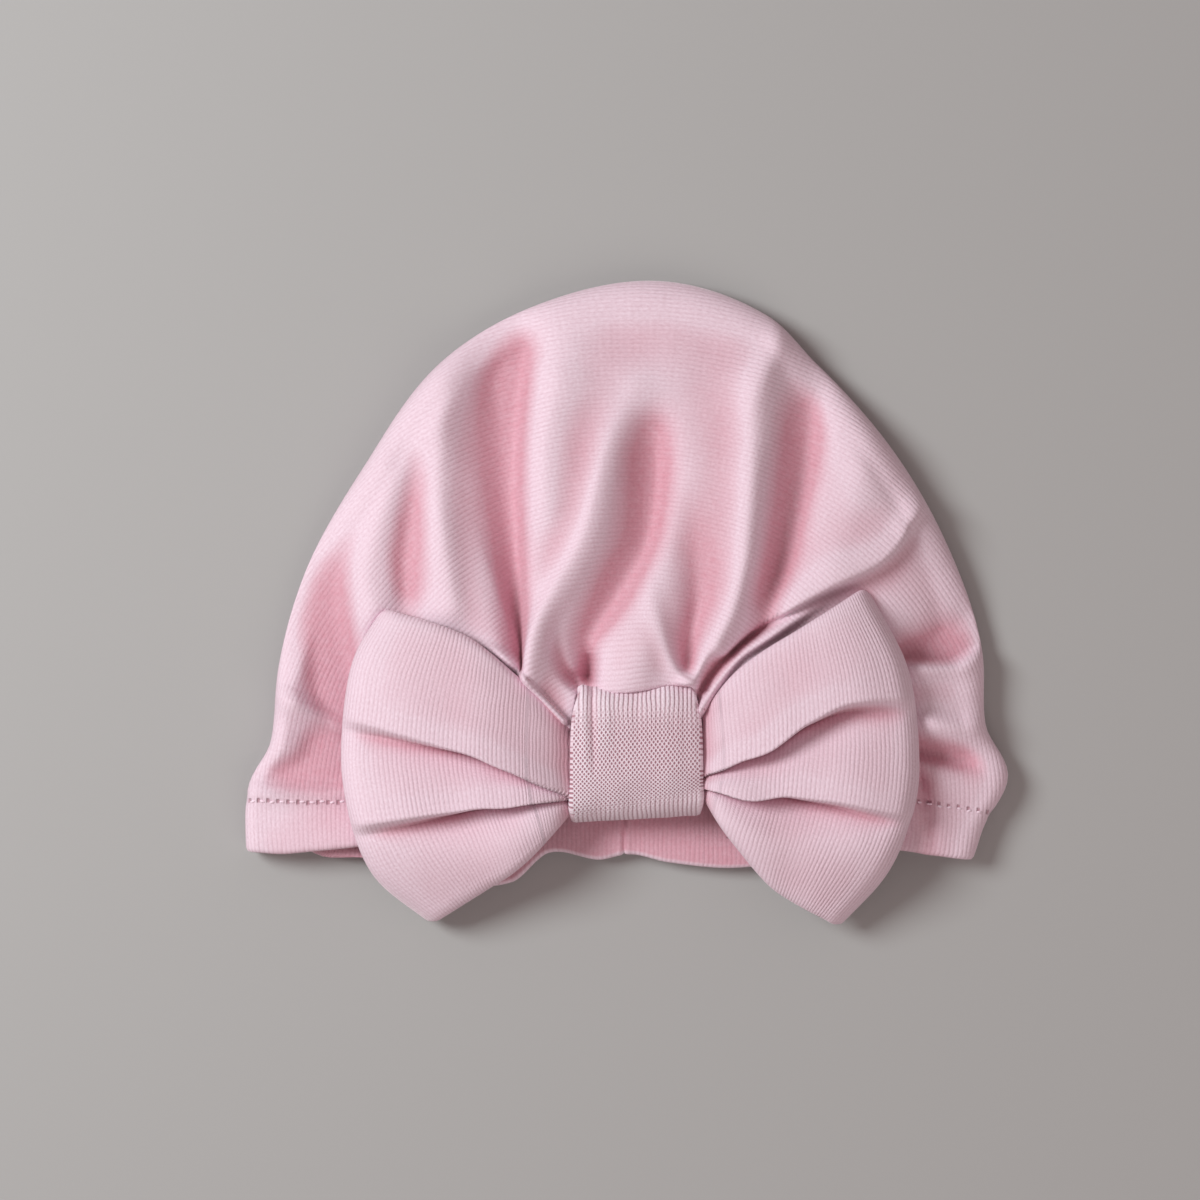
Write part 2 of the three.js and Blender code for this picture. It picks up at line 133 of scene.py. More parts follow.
# Folds of the front panel: height at the outer end and at the knot's end, width to the left and
# to the right of the line (looking along it) at both ends, how far the crest leans to the right,
# and the line from the outer end to the knot. All heights are multiplied by FOLD_RISE.
FOLD_RISE = 1.34
FOLDS = [
    ("left ridge", (3.6, 2.6), (6, 4), (7.5, 7), 0, [(-41, 57), (-44, 42), (-45, 22), (-42, 0)]),
    ("left valley", (-5.6, -6.8), (5, 1.6), (12, 2.4), 0,
     [(-25.5, 64), (-27.5, 49), (-27.8, 24), (-27.2, 8), (-26, -8), (-25.5, -15.5)]),
    ("left edge", (0.2, 2.8), (2.4, 1.0), (6, 4), -1.0,
     [(-36, 14), (-31.2, 0), (-27.6, -9.2), (-26.3, -16)]),
    ("shoulder", (2.6, 1.6), (10, 7), (6, 5), 0, [(-15, 56), (-18.5, 38), (-18.5, 20)]),
    ("rolled ridge", (2.0, 4.6), (6, 4.4), (6, 1.4), 1.2,
     [(1.5, 48), (-4, 34), (-9.6, 16), (-17.4, 1.5), (-21.6, -7.5), (-23.6, -16.5)]),
    ("knot hollow", (-3.0, -6.4), (1.7, 2.0), (1.6, 2.2), 0, [(-8.4, -11.0), (-9.4, -17.4)]),
    ("roll crease", (0, -3.2), (2.5, 1.3), (2.5, 1.3), 0,
     [(-14, 2), (-16.5, -8), (-15, -15), (-12, -19.5)]),
    ("inner valley", (-5.0, -3.4), (4.4, 2.8), (9, 3.2), 0,
     [(6.6, 38), (6.8, 28), (4.4, 14), (-2, 3), (-9, -8), (-11.4, -16)]),
    ("middle swell", (0.4, 3.6), (9, 7.5), (9, 8), 0, [(11, 15), (6, 0), (1.6, -15)]),
    ("small ridge", (0.2, 1.8), (3, 1.5), (3, 1.6), 0,
     [(5, 8), (6, -2), (8.2, -9), (10.4, -14), (13.8, -18.4)]),
    ("small valley", (-1.2, -3.0), (5, 2.2), (5, 2.2), 0, [(15, 22), (16.5, 2), (14.6, -8), (14.2, -15)]),
    ("right ridge", (3.6, 4.2), (8, 2.4), (6, 2.4), 0,
     [(30, 52), (28.6, 28.7), (28, 12), (25.6, -1), (21, -10.3), (16.2, -17.5), (14.9, -22)]),
    ("right valley", (-4.9, -5.4), (5, 1.6), (9.5, 1.6), 0,
     [(43, 48), (40.5, 31), (37, 12), (32, -3.6), (25.4, -10.6), (19, -17.8), (15.9, -23)]),
    ("side ridge", (2.4, 1.4), (7, 6), (7, 6), 0, [(57, 44), (54, 26), (48, 10)]),
    ("side valley", (-2.0, -1.2), (5, 4), (5, 4), 0, [(68, 36), (65, 26), (61, 18)]),
    ("over right wing", (3.4, 3.4), (1.7, 1.0), (9, 4), -1.0,
     [(66.5, 24.5), (64, 17), (58, 9.8), (45, 2.6), (31.5, -4.6), (22.6, -11.4)]),
    ("right flank", (-3.4, -4.0), (4, 4), (12, 11), 0, [(84, 18), (80.5, 3), (78, -9)]),
    ("left side ridge", (3.0, 2.4), (6, 5), (5, 4), 0, [(-56, 28), (-62, 9), (-61, -4), (-59.6, -12)]),
    ("left side valley", (-2.2, -2.0), (5, 4), (4, 3), 0, [(-48, 34), (-52, 12), (-53, 1)]),
    ("left low valley", (-4.8, -6.0), (8, 12), (9, 12), 0,
     [(-66, 22), (-71.4, 8), (-71.4, -4), (-69.6, -14), (-69, -24), (-68, -36)]),
    ("left low ridge", (3.4, 4.0), (1.8, 1.8), (3.4, 4), 0, [(-80, -22), (-75, -25), (-67, -29.6)]),
    ("crown crease", (-0.5, -0.5), (5, 5), (6, 6), 0, [(-14, 61), (10, 62.5), (36, 58)]),
    ("crown corner", (1.8, 0.8), (3, 4), (3, 4), 0, [(37, 63), (33, 56), (30, 48)]),
    ("left hem crease", (-3.4, -4.4), (5, 5), (1.8, 1.6), 0, [(-90, -41), (-76, -41.6), (-64, -40)]),
    ("left hem roll", (1.6, 1.6), (2, 2), (2, 2), 0, [(-90, -44.6), (-76, -45), (-64, -43.8)]),
    ("right upper crease", (-3.4, -4.0), (1.3, 1.2), (6, 6), 0, [(84, -10.8), (74, -12), (63, -12.4)]),
    ("right upper ridge", (1.4, 2.2), (3, 3), (1.6, 1.6), 0, [(84, -14.2), (74, -15), (63, -15)]),
    ("right low ridge", (1.4, 2.4), (2.6, 3), (2.2, 2.4), 0, [(86, -30.4), (76, -28.8), (66, -27)]),
    ("right hem crease", (-2.2, -4.6), (2, 1.4), (3, 2.4), 0, [(82, -37.6), (75, -36.2), (66, -34.2)]),
    ("right hem fold", (0, -2.4), (1, 1.6), (1, 1.6), 0, [(72, -59), (70.5, -50), (67.5, -40)]),
]

# Narrow rolls of gathered cloth along the wings' upper edges: height, half width and line
ROLLS = [
    (3.8, 1.9, [(50, 2.9), (38, -4.4), (31, -8.8), (26.1, -12), (22.2, -16.2), (18.6, -21), (16.4, -25)]),
    (3.4, 1.5, [(-36, -8.8), (-28.5, -13.2), (-24, -18.4), (-19.8, -23), (-15.4, -27.8)]),
]

# Bow: height of the wings' front cloth from the waist (0) to the outer end (1), height of the back
# cloth, how it droops towards the lower corners and how much the front cloth follows it, the waist,
# and half the width of a loop
BOW_FRONT = [
    (0, 16.2), (0.03, 17.3), (0.08, 19.2), (0.16, 20.8), (0.4, 22.6), (0.7, 22.8), (0.9, 20.8),
    (1, 18),
]
BOW_BACK = 11.2
BOW_DROOP = {"from": -54, "to": -76, "lowest": 2.6}
FRONT_FOLLOWS = 0.85
WAIST_TOP = 15.4
WAIST_ROLL = 2.4
LOOP_HALF = 32
# Where along a wing its loop starts to turn back
LOOP_TURN = 0.93
# Pleats: their depth, the drop of the wings' rolled edges, and the curl of the outermost cloth
PLEAT = {"depth": 7.2, "edge": 2.4, "curl": 1.7, "curled": 0.075}
PLEAT_PLACES = (0, 0.08, 0.2, 0.35, 0.5, 0.65, 0.8, 1)

# Wings seen from above: the waist, the neck, the middle line and the outer end, from the lower edge
# to the upper, which stand at SECTIONS along the wing, and the place of each pleat across the wing
# (-1 to 1) at PLEAT_PLACES along it
SECTIONS = (0, 0.22, 0.5, 1)
WINGS = [
    {
        "waist": (-12.6, -50.4, -29.8),
        "neck": [(-21.4, -59.6), (-26.5, -40), (-26, -17)],
        "middle": [(-31, -66.2), (-41, -38), (-37, -8.5)],
        "end": [(-46.6, -75.9), (-60, -64), (-66, -47), (-67.2, -32), (-64.6, -14), (-57.7, -1.4)],
        "pleats": [(-0.693, -0.505, -0.315, -0.285, -0.31, -0.318, -0.328, -0.34),
                   (-0.677, -0.287, 0.052, 0.153, 0.19, 0.232, 0.268, 0.302)],
    },
    {
        "waist": (16.2, -47.6, -27),
        "neck": [(22.6, -58.2), (27, -38.5), (25.4, -15.8)],
        "middle": [(34, -67.6), (42, -36), (40, -6.2)],
        "end": [(49.7, -76.6), (60.5, -64), (66.2, -50), (68, -37), (65.5, -16), (55.8, 3.4)],
        "pleats": [(-0.735, -0.585, -0.422, -0.26, -0.255, -0.235, -0.225, -0.208),
                   (-0.402, -0.095, 0.145, 0.19, 0.32, 0.43, 0.46, 0.46)],
    },
]

# Knot band: its middle line in the plane across the hem, its middle and the drop of its rolled
# edges, its half width along the line, and how its top edge wanders
BAND_LINE = [
    (-21, 11.2), (-20.8, 15.4), (-23.6, 18.2), (-29, 19.3), (-36, 19.7), (-43, 19.2),
    (-49.2, 17.2), (-52.3, 13.2), (-52.7, 8.4), (-50.8, 5.4), (-46, 4.9), (-38, 4.9), (-30, 4.9),
]
BAND = {"middle": 1.8, "roll": 1.5}
BAND_HALF = [
    (0, 12.7), (0.1, 13.1), (0.22, 14.5), (0.36, 14.9), (0.5, 14.8), (0.62, 14.2), (0.8, 13.6),
    (1, 13.3),
]
BAND_TOP = [(-14.2, -0.6), (-10, 0.2), (-3.4, -0.6), (3, -0.3), (9, 0.6), (15.4, 0)]
# Soft creases down the band: place across it, depth, width, and where they end along it
BAND_CREASES = [
    (-8.6, 0.9, 1.0, 0.42), (-10.8, -0.3, 1.0, 0.4), (-5.2, -0.2, 1.4, 0.36), (1.4, 0.14, 1.6, 0.36),
    (8.4, -0.16, 1.8, 0.36), (12.6, 0.16, 1.4, 0.4),
]
# Outline of the cloth that the band holds down
KNOT_PRINT = [
    (-12.4, -56), (16, -56), (16.2, -32), (14.2, -20.2), (-10.6, -20.2), (-12.6, -32), (-12.4, -56),
]

# Knit of each cloth: rib pitch as a share of the cap's, relief in metres, share of the colour
# between the ribs, and a shift of the painted shade that deepens the pink of its hollows
KNITS = {
    "cap_jersey": {"pitch": 1.0, "relief": 0.00012, "grooves": 0.31, "shade_shift": 0.12},
    "bow_jersey": {"pitch": 1.0, "relief": 0.00016, "grooves": 0.4, "shade_shift": -0.16},
    "band_jersey": {"pitch": 0.98, "relief": 0.00028, "grooves": 0.88, "shade_shift": -0.2},
}
# Painted shade: how deep a hollow counts as full, and the parts of its own depth and of what spreads round
# it
HOLLOW_SHADE = {"full": 1.1, "own": 1.1, "spread": 0.9}
# Painted shade given to the inner faces as a fold depth, and a distance from the stitches too far to show
# any
INSIDE_SHADE = 0.9
NO_STITCHES = 40.0
EDGE_STEPS = 4

# Stage, in metres and watts, with the camera's centre in millimetres
LIGHTS = [
    {"name": "key", "place": (-0.7, 0.27, 0.735), "size": 0.46, "power": 8.9, "colour": (0.955, 1.0, 1.0)},
    {"name": "fill", "place": (0.5, -0.9, 1.0), "size": 1.2, "power": 3.8, "colour": (1.0, 0.93, 0.9)},
]
WORLD = {"colour": (1.0, 0.81, 0.79, 1.0), "strength": 0.3}
CAMERA = {"height": 1.2, "width": 0.282, "plane": 0.008, "centre": (-6.7, 0.5), "sensor": 36.0}


def length(title, about, default):
    return bpy.props.FloatProperty(name=title, description=about, default=default, unit="LENGTH")


def colour(title, about, default):
    return bpy.props.FloatVectorProperty(
        name=title, description=about, default=default, subtype="COLOR", size=3, min=0, max=1)


class HeadwrapSizes(bpy.types.PropertyGroup):
    """Cloth and knit sizes that a user would change."""

    cap_cloth: length("Cap cloth", "Thickness of the cap's jersey", 0.0014)
    hem_cloth: length("Hem", "Thickness of the turned hem", 0.0023)
    bow_cloth: length("Bow cloth", "Thickness of the doubled cloth of the bow", 0.002)
    band_cloth: length("Band cloth", "Thickness of the knot band", 0.0022)
    rib_pitch: length("Rib pitch", "Distance from one knitted rib to the next", 0.00108)
    stitch_pitch: length("Stitch pitch", "Distance between the stitches of the hem", 0.00235)


class HeadwrapColours(bpy.types.PropertyGroup):
    """Colours of the cloth, of the painted shade in its folds, and of the stage."""

    cloth: colour("Jersey", "Colour of the ribs", (0.885, 0.705, 0.80))
    band: colour("Band jersey", "Colour of the knot band's threads", (0.94, 0.83, 0.91))
    groove: colour("Grooves", "Colour between the ribs", (0.42, 0.15, 0.20))
    # Painted shade: the deeper pink laid into the hollows and over the inner faces
    fold: colour("Folds", "Colour deep in the folds", (0.68, 0.31, 0.38))
    floor: colour("Floor", "Colour of the plain floor", (0.43, 0.425, 0.42))


def ease(start, end, value):
    share = np.clip((value - start) / (end - start), 0, 1)
    return share * share * (3 - 2 * share)


def mix(a, b, share):
    return a + (b - a) * share


def hump(height, off, width):
    """Soft hump of a given height, by the distance off its middle."""
    return height / (1 + (off / width) ** 2) ** 2


def unit(vectors):
    """Vectors brought to a length of 1."""
    return vectors / np.maximum(np.linalg.norm(vectors, axis=-1, keepdims=True), 1e-9)


def joined(*parts):
    """Numbers or arrays side by side, as the parts of one array's last direction."""
    return np.stack(np.broadcast_arrays(*parts), axis=-1)


def smooth_run(places, values, at, pick):
    """Smooth run through the values that stand at a few places. The pick takes values by number."""
    before = np.maximum(np.arange(len(places)) - 1, 0)
    after = np.minimum(np.arange(len(places)) + 1, len(places) - 1)
    run = (places[after] - places[before]).reshape((-1,) + (1,) * (values.ndim - 1))
    slopes = (values[after] - values[before]) / run
    i = np.clip(np.searchsorted(places, at, side="right") - 1, 0, len(places) - 2)
    span = places[i + 1] - places[i]
    s = np.clip((at - places[i]) / span, 0, 1)
    s2 = s * s
    s3 = s2 * s
    return ((2 * s3 - 3 * s2 + 1) * pick(values, i) + (s3 - 2 * s2 + s) * span * pick(slopes, i)
            + (3 * s2 - 2 * s3) * pick(values, i + 1) + (s3 - s2) * span * pick(slopes, i + 1))


def through(rows):
    """Smooth curve through rows of (place, value)."""
    places, values = np.array(sorted(rows), float).T
    return lambda at: smooth_run(places, values, np.asarray(at, float), lambda table, i: table[i])


def stations(places, values, at):
    """Smooth run through arrays of values that stand at a few places."""
    values = np.stack(np.broadcast_arrays(*values))
    at = np.broadcast_to(np.asarray(at, float), values.shape[1:])
    pick = lambda table, i: np.take_along_axis(table, i[None], axis=0)[0]
    return smooth_run(np.asarray(places, float), values, at, pick)


def along_line(points):
    """Smooth line through a few points of a plane, at a share of its run."""
    count = len(points) - 1
    first = through([(i / count, point[0]) for i, point in enumerate(points)])
    second = through([(i / count, point[1]) for i, point in enumerate(points)])
    return lambda share: (first(share), second(share))


rim_reach = through(RIM)
back_hem = through(BACK_HEM)
swell = through(SWELL)
bulge = through(BULGE)
bow_front = through(BOW_FRONT)


def soft_noise(x, y, cell, seed):
    """Smooth noise from -1 to 1 with bumps about one cell across."""
    size = 97
    lattice = np.random.default_rng(seed).uniform(-1, 1, (size, size))
    gx = np.asarray(x, float) / cell + 31.7
    gy = np.asarray(y, float) / cell + 17.3
    i = np.floor(gx).astype(int)
    j = np.floor(gy).astype(int)
    fx = ease(0, 1, gx - i)
    fy = ease(0, 1, gy - j)
    pick = lambda a, b: lattice[a % size, b % size]
    near = mix(pick(i, j), pick(i + 1, j), fx)
    far = mix(pick(i, j + 1), pick(i + 1, j + 1), fx)
    return mix(near, far, fy)


def off_line(line, x, y):
    """Distance from a line of points, side of it (-1 left to 1 right), share along, and direction."""
    points = np.asarray(line, float)
    best = np.full(np.shape(x), np.inf)
    side = np.ones(np.shape(x))
    along, right_x, right_y = (np.zeros(np.shape(x)) for _ in range(3))
    for i in range(len(points) - 1):
        ax, ay = points[i]
        dx, dy = points[i + 1] - points[i]
        if dx == 0 and dy == 0:
            continue
        share = np.clip(((x - ax) * dx + (y - ay) * dy) / (dx * dx + dy * dy), 0, 1)
        off = np.hypot(x - ax - share * dx, y - ay - share * dy)
        closer = off < best
        best = np.where(closer, off, best)
        turn = dx * (y - ay) - dy * (x - ax)
        run = math.hypot(dx, dy)
        side = np.where(closer, -turn / (run * np.maximum(off, 1e-6)), side)
        along = np.where(closer, (i + share) / (len(points) - 1), along)
        right_x = np.where(closer, dy / run, right_x)
        right_y = np.where(closer, -dx / run, right_y)
    return best, side, along, right_x, right_y


def smooth_points(points, steps=24):
    return joined(*along_line(points)(np.linspace(0, 1, steps)))


def outside(outline, x, y):
    """How far a place lies outside a closed outline, negative inside it."""
    points = np.asarray(outline, float)
    inside = np.zeros(np.shape(x), bool)
    for i in range(len(points) - 1):
        ax, ay = points[i]
        bx, by = points[i + 1]
        if ay == by:
            continue
        crosses = ((ay > y) != (by > y)) & (x < ax + (y - ay) / (by - ay) * (bx - ax))
        inside ^= crosses
    distance = off_line(points, x, y)[0]
    return np.where(inside, -distance, distance)


def wing_plan(wing, along, across):
    """Place of a wing's cloth seen from above, from the waist (0) to the end (1)."""
    share = (across + 1) / 2
    waist_x, low, high = wing["waist"]
    lines = [along_line(wing[name])(share) for name in ("neck", "middle", "end")]
    x = stations(SECTIONS, [np.full_like(share, waist_x)] + [line[0] for line in lines], along)
    y = stations(SECTIONS, [mix(low, high, share)] + [line[1] for line in lines], along)
    return x, y


def wing_print(wing):
    """Outline of a wing seen from above."""
    steps = np.linspace(0, 1, 17)
    ones = np.ones(17)
    lower = wing_plan(wing, steps, -ones)
    end = wing_plan(wing, ones, -1 + 2 * steps)
    upper = wing_plan(wing, steps[::-1], ones)
    outline = np.concatenate([joined(*part) for part in (lower, end, upper)])
    return np.concatenate([outline, outline[:1]])


WING_PRINTS = [wing_print(wing) for wing in WINGS]


def rim_roll(turn):
    """Width of the rim's roll, which is tighter at the left and right sides."""
    return RIM_ROLL * mix(1, 0.5, ease(146, 168, turn)) * mix(1, 0.7, ease(26, 6, turn))


def front_face(x, y):
    """The front panel's outer face over places of the plane: shifted places and heights."""
    dx = x - GATHER["x"]
    dy = y - GATHER["y"]
    turn = np.degrees(np.arctan2(dy, dx))
    turn = np.where(turn < -90, turn + 360, turn)
    along = np.hypot(dx, dy) / rim_reach(turn)
    side = ease(2, 42, turn) * ease(178, 138, turn)
    left_rim = ease(148, 160, turn) * ease(179, 173, turn) * ease(0.84, 0.965, along)
    height = swell(along) * mix(0.78, 1, side) + LEFT_RIM * left_rim
    at_side = np.maximum(ease(146, 168, turn), 0.6 * ease(26, 6, turn))
    calm = mix(ease(1.02, 0.9, along), ease(1.01, 0.95, along), at_side)
    bend_x = x + 0.9 * soft_noise(x, y, 19, 3)
    bend_y = y + 0.9 * soft_noise(x, y, 19, 4)
    lean_x = np.zeros_like(x)
    lean_y = np.zeros_like(x)
    for _, rises, lefts, rights, lean, line in FOLDS:
        off, hand, run, right_x, right_y = off_line(smooth_points(line), bend_x, bend_y)
        near = np.clip(run, 0, 1)
        width = mix(mix(*lefts, near), mix(*rights, near), 0.5 + 0.5 * np.clip(hand, -1, 1))
        fade = ease(-0.25, 0.2, run) * ease(1.3, 0.9, run) * calm
        shape = fade * (0.75 * np.exp(-(off / width) ** 2) + hump(0.25, off, width))
        height = height + FOLD_RISE * mix(*rises, near) * shape
        if lean:
            mound = hump(fade * mix(0.1, 1, near), off, 2.4)
            lean_x += lean * mound * right_x
            lean_y += lean * mound * right_y
    for rise, half, line in ROLLS:
        off, _, run, _, _ = off_line(smooth_points(line), x, y)
        fade = ease(-0.02, 0.3, run)
        height = height + rise * fade * np.cos(np.clip(off / half, 0, 1) * math.pi / 2) ** 1.3
    height = height + 0.16 * soft_noise(x, y, 8, 5) * calm + 0.05 * soft_noise(x, y, 3, 6) * calm
    clear = np.minimum(outside(WING_PRINTS[0], x, y), outside(WING_PRINTS[1], x, y))
    reach = mix(BESIDE_WINGS["near"], BESIDE_WINGS["far"], ease(57, 68, np.abs(x - 1)))
    free = ease(0, 1, (clear - BESIDE_WINGS["edge"]) / reach)
    height = mix(soft_min(height, UNDER_BOW, 2.0), height, free)
    from_knot = outside(KNOT_PRINT, x, y)
    height = soft_min(height, mix(KNOT_TOP, FAR_TOP, ease(2, 22, from_knot)), 1.3)
    knot = ease(*BESIDE_KNOT, from_knot)
    height = mix(np.minimum(height, BUNCH_TOP), height, knot)
    height = -soft_min(-height, -LOWEST_FRONT, 2.0)
    above = ease(15.5, 12.5, np.abs(x - 1.9))
    over = above * ease(-6, -17.9, y) * ease(-20.4, -20, y)
    leaned_y = y + lean_y * free * knot * (1 - over)
    return x + lean_x * free * knot, leaned_y + (bulge(x) - BULGE_FROM) * over, height


def soft_min(a, b, sharp):
    """The lower of two values, with a rounded change from one to the other."""
    low = np.minimum(a, b)
    return low - np.log1p(np.exp(-sharp * np.abs(a - b))) / sharp


def tucked(points):
    """The three pieces drawn up together where the band goes round the front hem."""
    x, y, z = points[..., 0], points[..., 1], points[..., 2]
    drawn = TUCK["middle"] + TUCK["slope"] * x
    drawn = drawn * ease(-38, -52, y) * ease(34, 19, np.abs(x - 1)) * ease(2, 4, z)
    return joined(x, y + drawn, z)


def spaced(start, end, fine, coarse, weight):
    """Places from start to end, with steps from coarse to fine where the weight goes to 1."""
    fine_grid = np.linspace(start, end, 2000)
    step = mix(coarse, fine, weight(fine_grid))
    density = np.concatenate([[0], np.cumsum(np.abs(np.diff(fine_grid)) / step[:-1])])
    count = int(round(density[-1]))
    return np.interp(np.linspace(0, density[-1], count + 1), density, fine_grid)


def grid_normals(points, closes_up):
    """Unit normals of a grid of points, facing out."""
    if closes_up:
        down = np.roll(points, -1, axis=0) - np.roll(points, 1, axis=0)
    else:
        down = np.gradient(points, axis=0)
    return unit(np.cross(down, np.gradient(points, axis=1)))


def blurred(values, passes, closes_up):
    """Grid of values smoothed by its neighbours."""
    for _ in range(passes):
        if closes_up:
            before, after = np.roll(values, 1, axis=0), np.roll(values, -1, axis=0)
        else:
            before = np.concatenate([values[:1], values[:-1]])
            after = np.concatenate([values[1:], values[-1:]])
        left = np.concatenate([values[:, :1], values[:, :-1]], axis=1)
        right = np.concatenate([values[:, 1:], values[:, -1:]], axis=1)
        values = (4 * values + before + after + left + right) / 8
    return values


def fold_shade_depth(outer, closes_up):
    """How deep each place of the outer face lies, from -1 on a crest to 1 in a hollow, which sets its
    painted shade.
    """
    normals = grid_normals(blurred(outer, 4, closes_up), closes_up)
    hollow = np.sum((blurred(outer, 140, closes_up) - outer) * normals, axis=2)
    hollow = blurred(hollow, 10, closes_up) / HOLLOW_SHADE["full"]
    # The painted shade spreads from each hollow over the slopes round it
    spread = blurred(np.maximum(hollow, 0), 60, closes_up)
    return np.clip(HOLLOW_SHADE["own"] * hollow + HOLLOW_SHADE["spread"] * spread, -1, 1)


def smooth_piece(name, vertices, faces):
    """Smooth-shaded mesh object in the scene."""
    mesh = bpy.data.meshes.new(name)
    mesh.from_pydata(vertices, [], faces)
    mesh.polygons.foreach_set("use_smooth", np.ones(len(mesh.polygons), dtype=bool))
    mesh.update()
    piece = bpy.data.objects.new(name, mesh)
    bpy.context.scene.collection.objects.link(piece)
    return piece


def cloth_object(name, outer, inner, uv, closes_up, hem=NO_STITCHES):
    """Closed cloth from its outer and inner faces, with edges rounded between them."""
    tall, wide = outer.shape[:2]
    count = tall * wide
    index = np.arange(count).reshape(tall, wide)
    rows = np.concatenate([index, index[:1]]) if closes_up else index
    a, b, c, d = rows[:-1, :-1], rows[:-1, 1:], rows[1:, 1:], rows[1:, :-1]
    faces = [joined(a, d, c, b).reshape(-1, 4), joined(a, b, c, d).reshape(-1, 4) + count]
    across = unit(np.gradient(outer, axis=1))
    lead = np.zeros_like(outer)
    lead[:, 0] -= across[:, 0]
    lead[:, -1] += across[:, -1]
    if closes_up:
        loops = [index[:, 0], index[:, -1][::-1]]
    else:
        loops = [np.concatenate([index[:-1, 0], index[-1, :-1], index[1:, -1][::-1], index[0, 1:][::-1]])]
        down = unit(np.gradient(outer, axis=0))
        lead[0] -= down[0]
        lead[-1] += down[-1]
    flat_outer, flat_inner, flat_lead = (grid.reshape(-1, 3) for grid in (outer, inner, lead))
    hem = np.broadcast_to(hem, uv.shape)
    # Fold depth of each place, kept as an attribute for the painted shade of the material
    depth = fold_shade_depth(outer, closes_up)
    marks = np.concatenate([uv * MM, hem * MM, depth[..., None]], axis=-1).reshape(-1, 5)
    inner_marks = marks.copy()
    # The inner faces are given painted shade all over
    inner_marks[:, 4] = INSIDE_SHADE
    places = [flat_outer, flat_inner]
    all_marks = [marks, inner_marks]
    total = 2 * count
    for loop in loops:
        middle = (flat_outer[loop] + flat_inner[loop]) / 2
        half = (flat_outer[loop] - flat_inner[loop]) / 2
        radius = np.linalg.norm(half, axis=1, keepdims=True)
        out = flat_lead[loop]
        out = out - half * np.sum(out * half, axis=1, keepdims=True) / np.maximum(radius ** 2, 1e-12)
        out = unit(out) * radius
        previous = loop
        for step in range(1, EDGE_STEPS + 1):
            current = loop + count
            if step < EDGE_STEPS:
                angle = math.pi * step / EDGE_STEPS
                places.append(middle + half * math.cos(angle) + out * math.sin(angle))
                all_marks.append(marks[loop])
                current = np.arange(total, total + len(loop))
                total += len(loop)
            faces.append(joined(previous, current, np.roll(current, -1), np.roll(previous, -1)))
            previous = current
    vertices = (np.concatenate(places) + SHIFT) * MM
    piece = smooth_piece(name, vertices.tolist(), np.concatenate(faces).tolist())
    mesh = piece.data
    corners = np.empty(len(mesh.loops), dtype=np.int32)
    mesh.loops.foreach_get("vertex_index", corners)
    marks = np.concatenate(all_marks).astype(np.float32)
    for title, columns in (("cloth", slice(0, 2)), ("hem", slice(2, 4))):
        layer = mesh.uv_layers.new(name=title)
        layer.data.foreach_set("uv", marks[corners, columns].ravel())
    tone = mesh.attributes.new("fold_shade_depth", "FLOAT", "POINT")
    tone.data.foreach_set("value", marks[:, 4].copy())
    return piece


def inner_face(outer, thickness, closes_up, facing=None):
    """Inner face of a cloth: the outer one moved in by the cloth's thickness."""
    normals = unit(blurred(grid_normals(blurred(outer, 2, closes_up), closes_up), 3, closes_up))
    if facing is not None:
        normals = facing(outer, normals)
    return outer - normals * thickness[..., None]


def cap_grid():
    """Outer face of the cap, from the gather over the front, round the rim and along the back."""
    folds_weight = lambda turn: ease(16, 24, turn) * ease(146, 132, turn)
    turns = spaced(TURN_LEFT, TURN_RIGHT, 0.46, 1.2, folds_weight)
    share = (TURN_LEFT - turns) / (TURN_LEFT - TURN_RIGHT)
    direction = joined(np.cos(np.radians(turns)), np.sin(np.radians(turns)))
    rim = joined(GATHER["x"], GATHER["y"]) + direction * rim_reach(turns)[:, None]
    start = joined(mix(GATHER["left"], GATHER["right"], share), GATHER["y"])
    ray = unit(rim - start)
    roll_width = rim_roll(turns)[:, None]
    top = rim - ray * roll_width
    front_weight = lambda s: ease(0.12, 0.2, s) * ease(0.46, 0.34, s)
    steps = spaced(0, 1, 0.0042, 0.0125, front_weight)
    flat = start[:, None, :] + (top - start)[:, None, :] * steps[None, :, None]
    front = joined(*front_face(flat[..., 0], flat[..., 1]))
    top_height = front[:, -1, 2]
    angles = np.radians(np.linspace(90, -90, ROLL_STEPS + 1)[1:])
    inset = roll_width * (1 - np.cos(angles))[None, :]
    roll_xy = rim[:, None, :] - ray[:, None, :] * inset[:, :, None]
    rise = np.where(angles > 0, top_height[:, None] - RIM_LEVEL, RIM_LEVEL) * np.sin(angles)
    roll = joined(roll_xy[..., 0], roll_xy[..., 1], RIM_LEVEL + rise)
    hem_x = mix(BACK_HEM[0][0], BACK_HEM[-1][0], share)
    hem = joined(hem_x, back_hem(hem_x))[:, None, :]
    bottom = top[:, None, :]
    back_xy = bottom + (hem - bottom) * np.linspace(0, 1, BACK_STEPS + 1)[None, 1:, None]
    back = joined(back_xy[..., 0], back_xy[..., 1], 0.0)
    return np.concatenate([front, roll, back], axis=1), flat, len(steps), turns


def hem_depth(x):
    """Distance of the stitch line from the front hem's edge."""
    return HEM_DEPTH - HEM_NARROWS * ease(-93, -66, x) * (np.asarray(x) < 0)


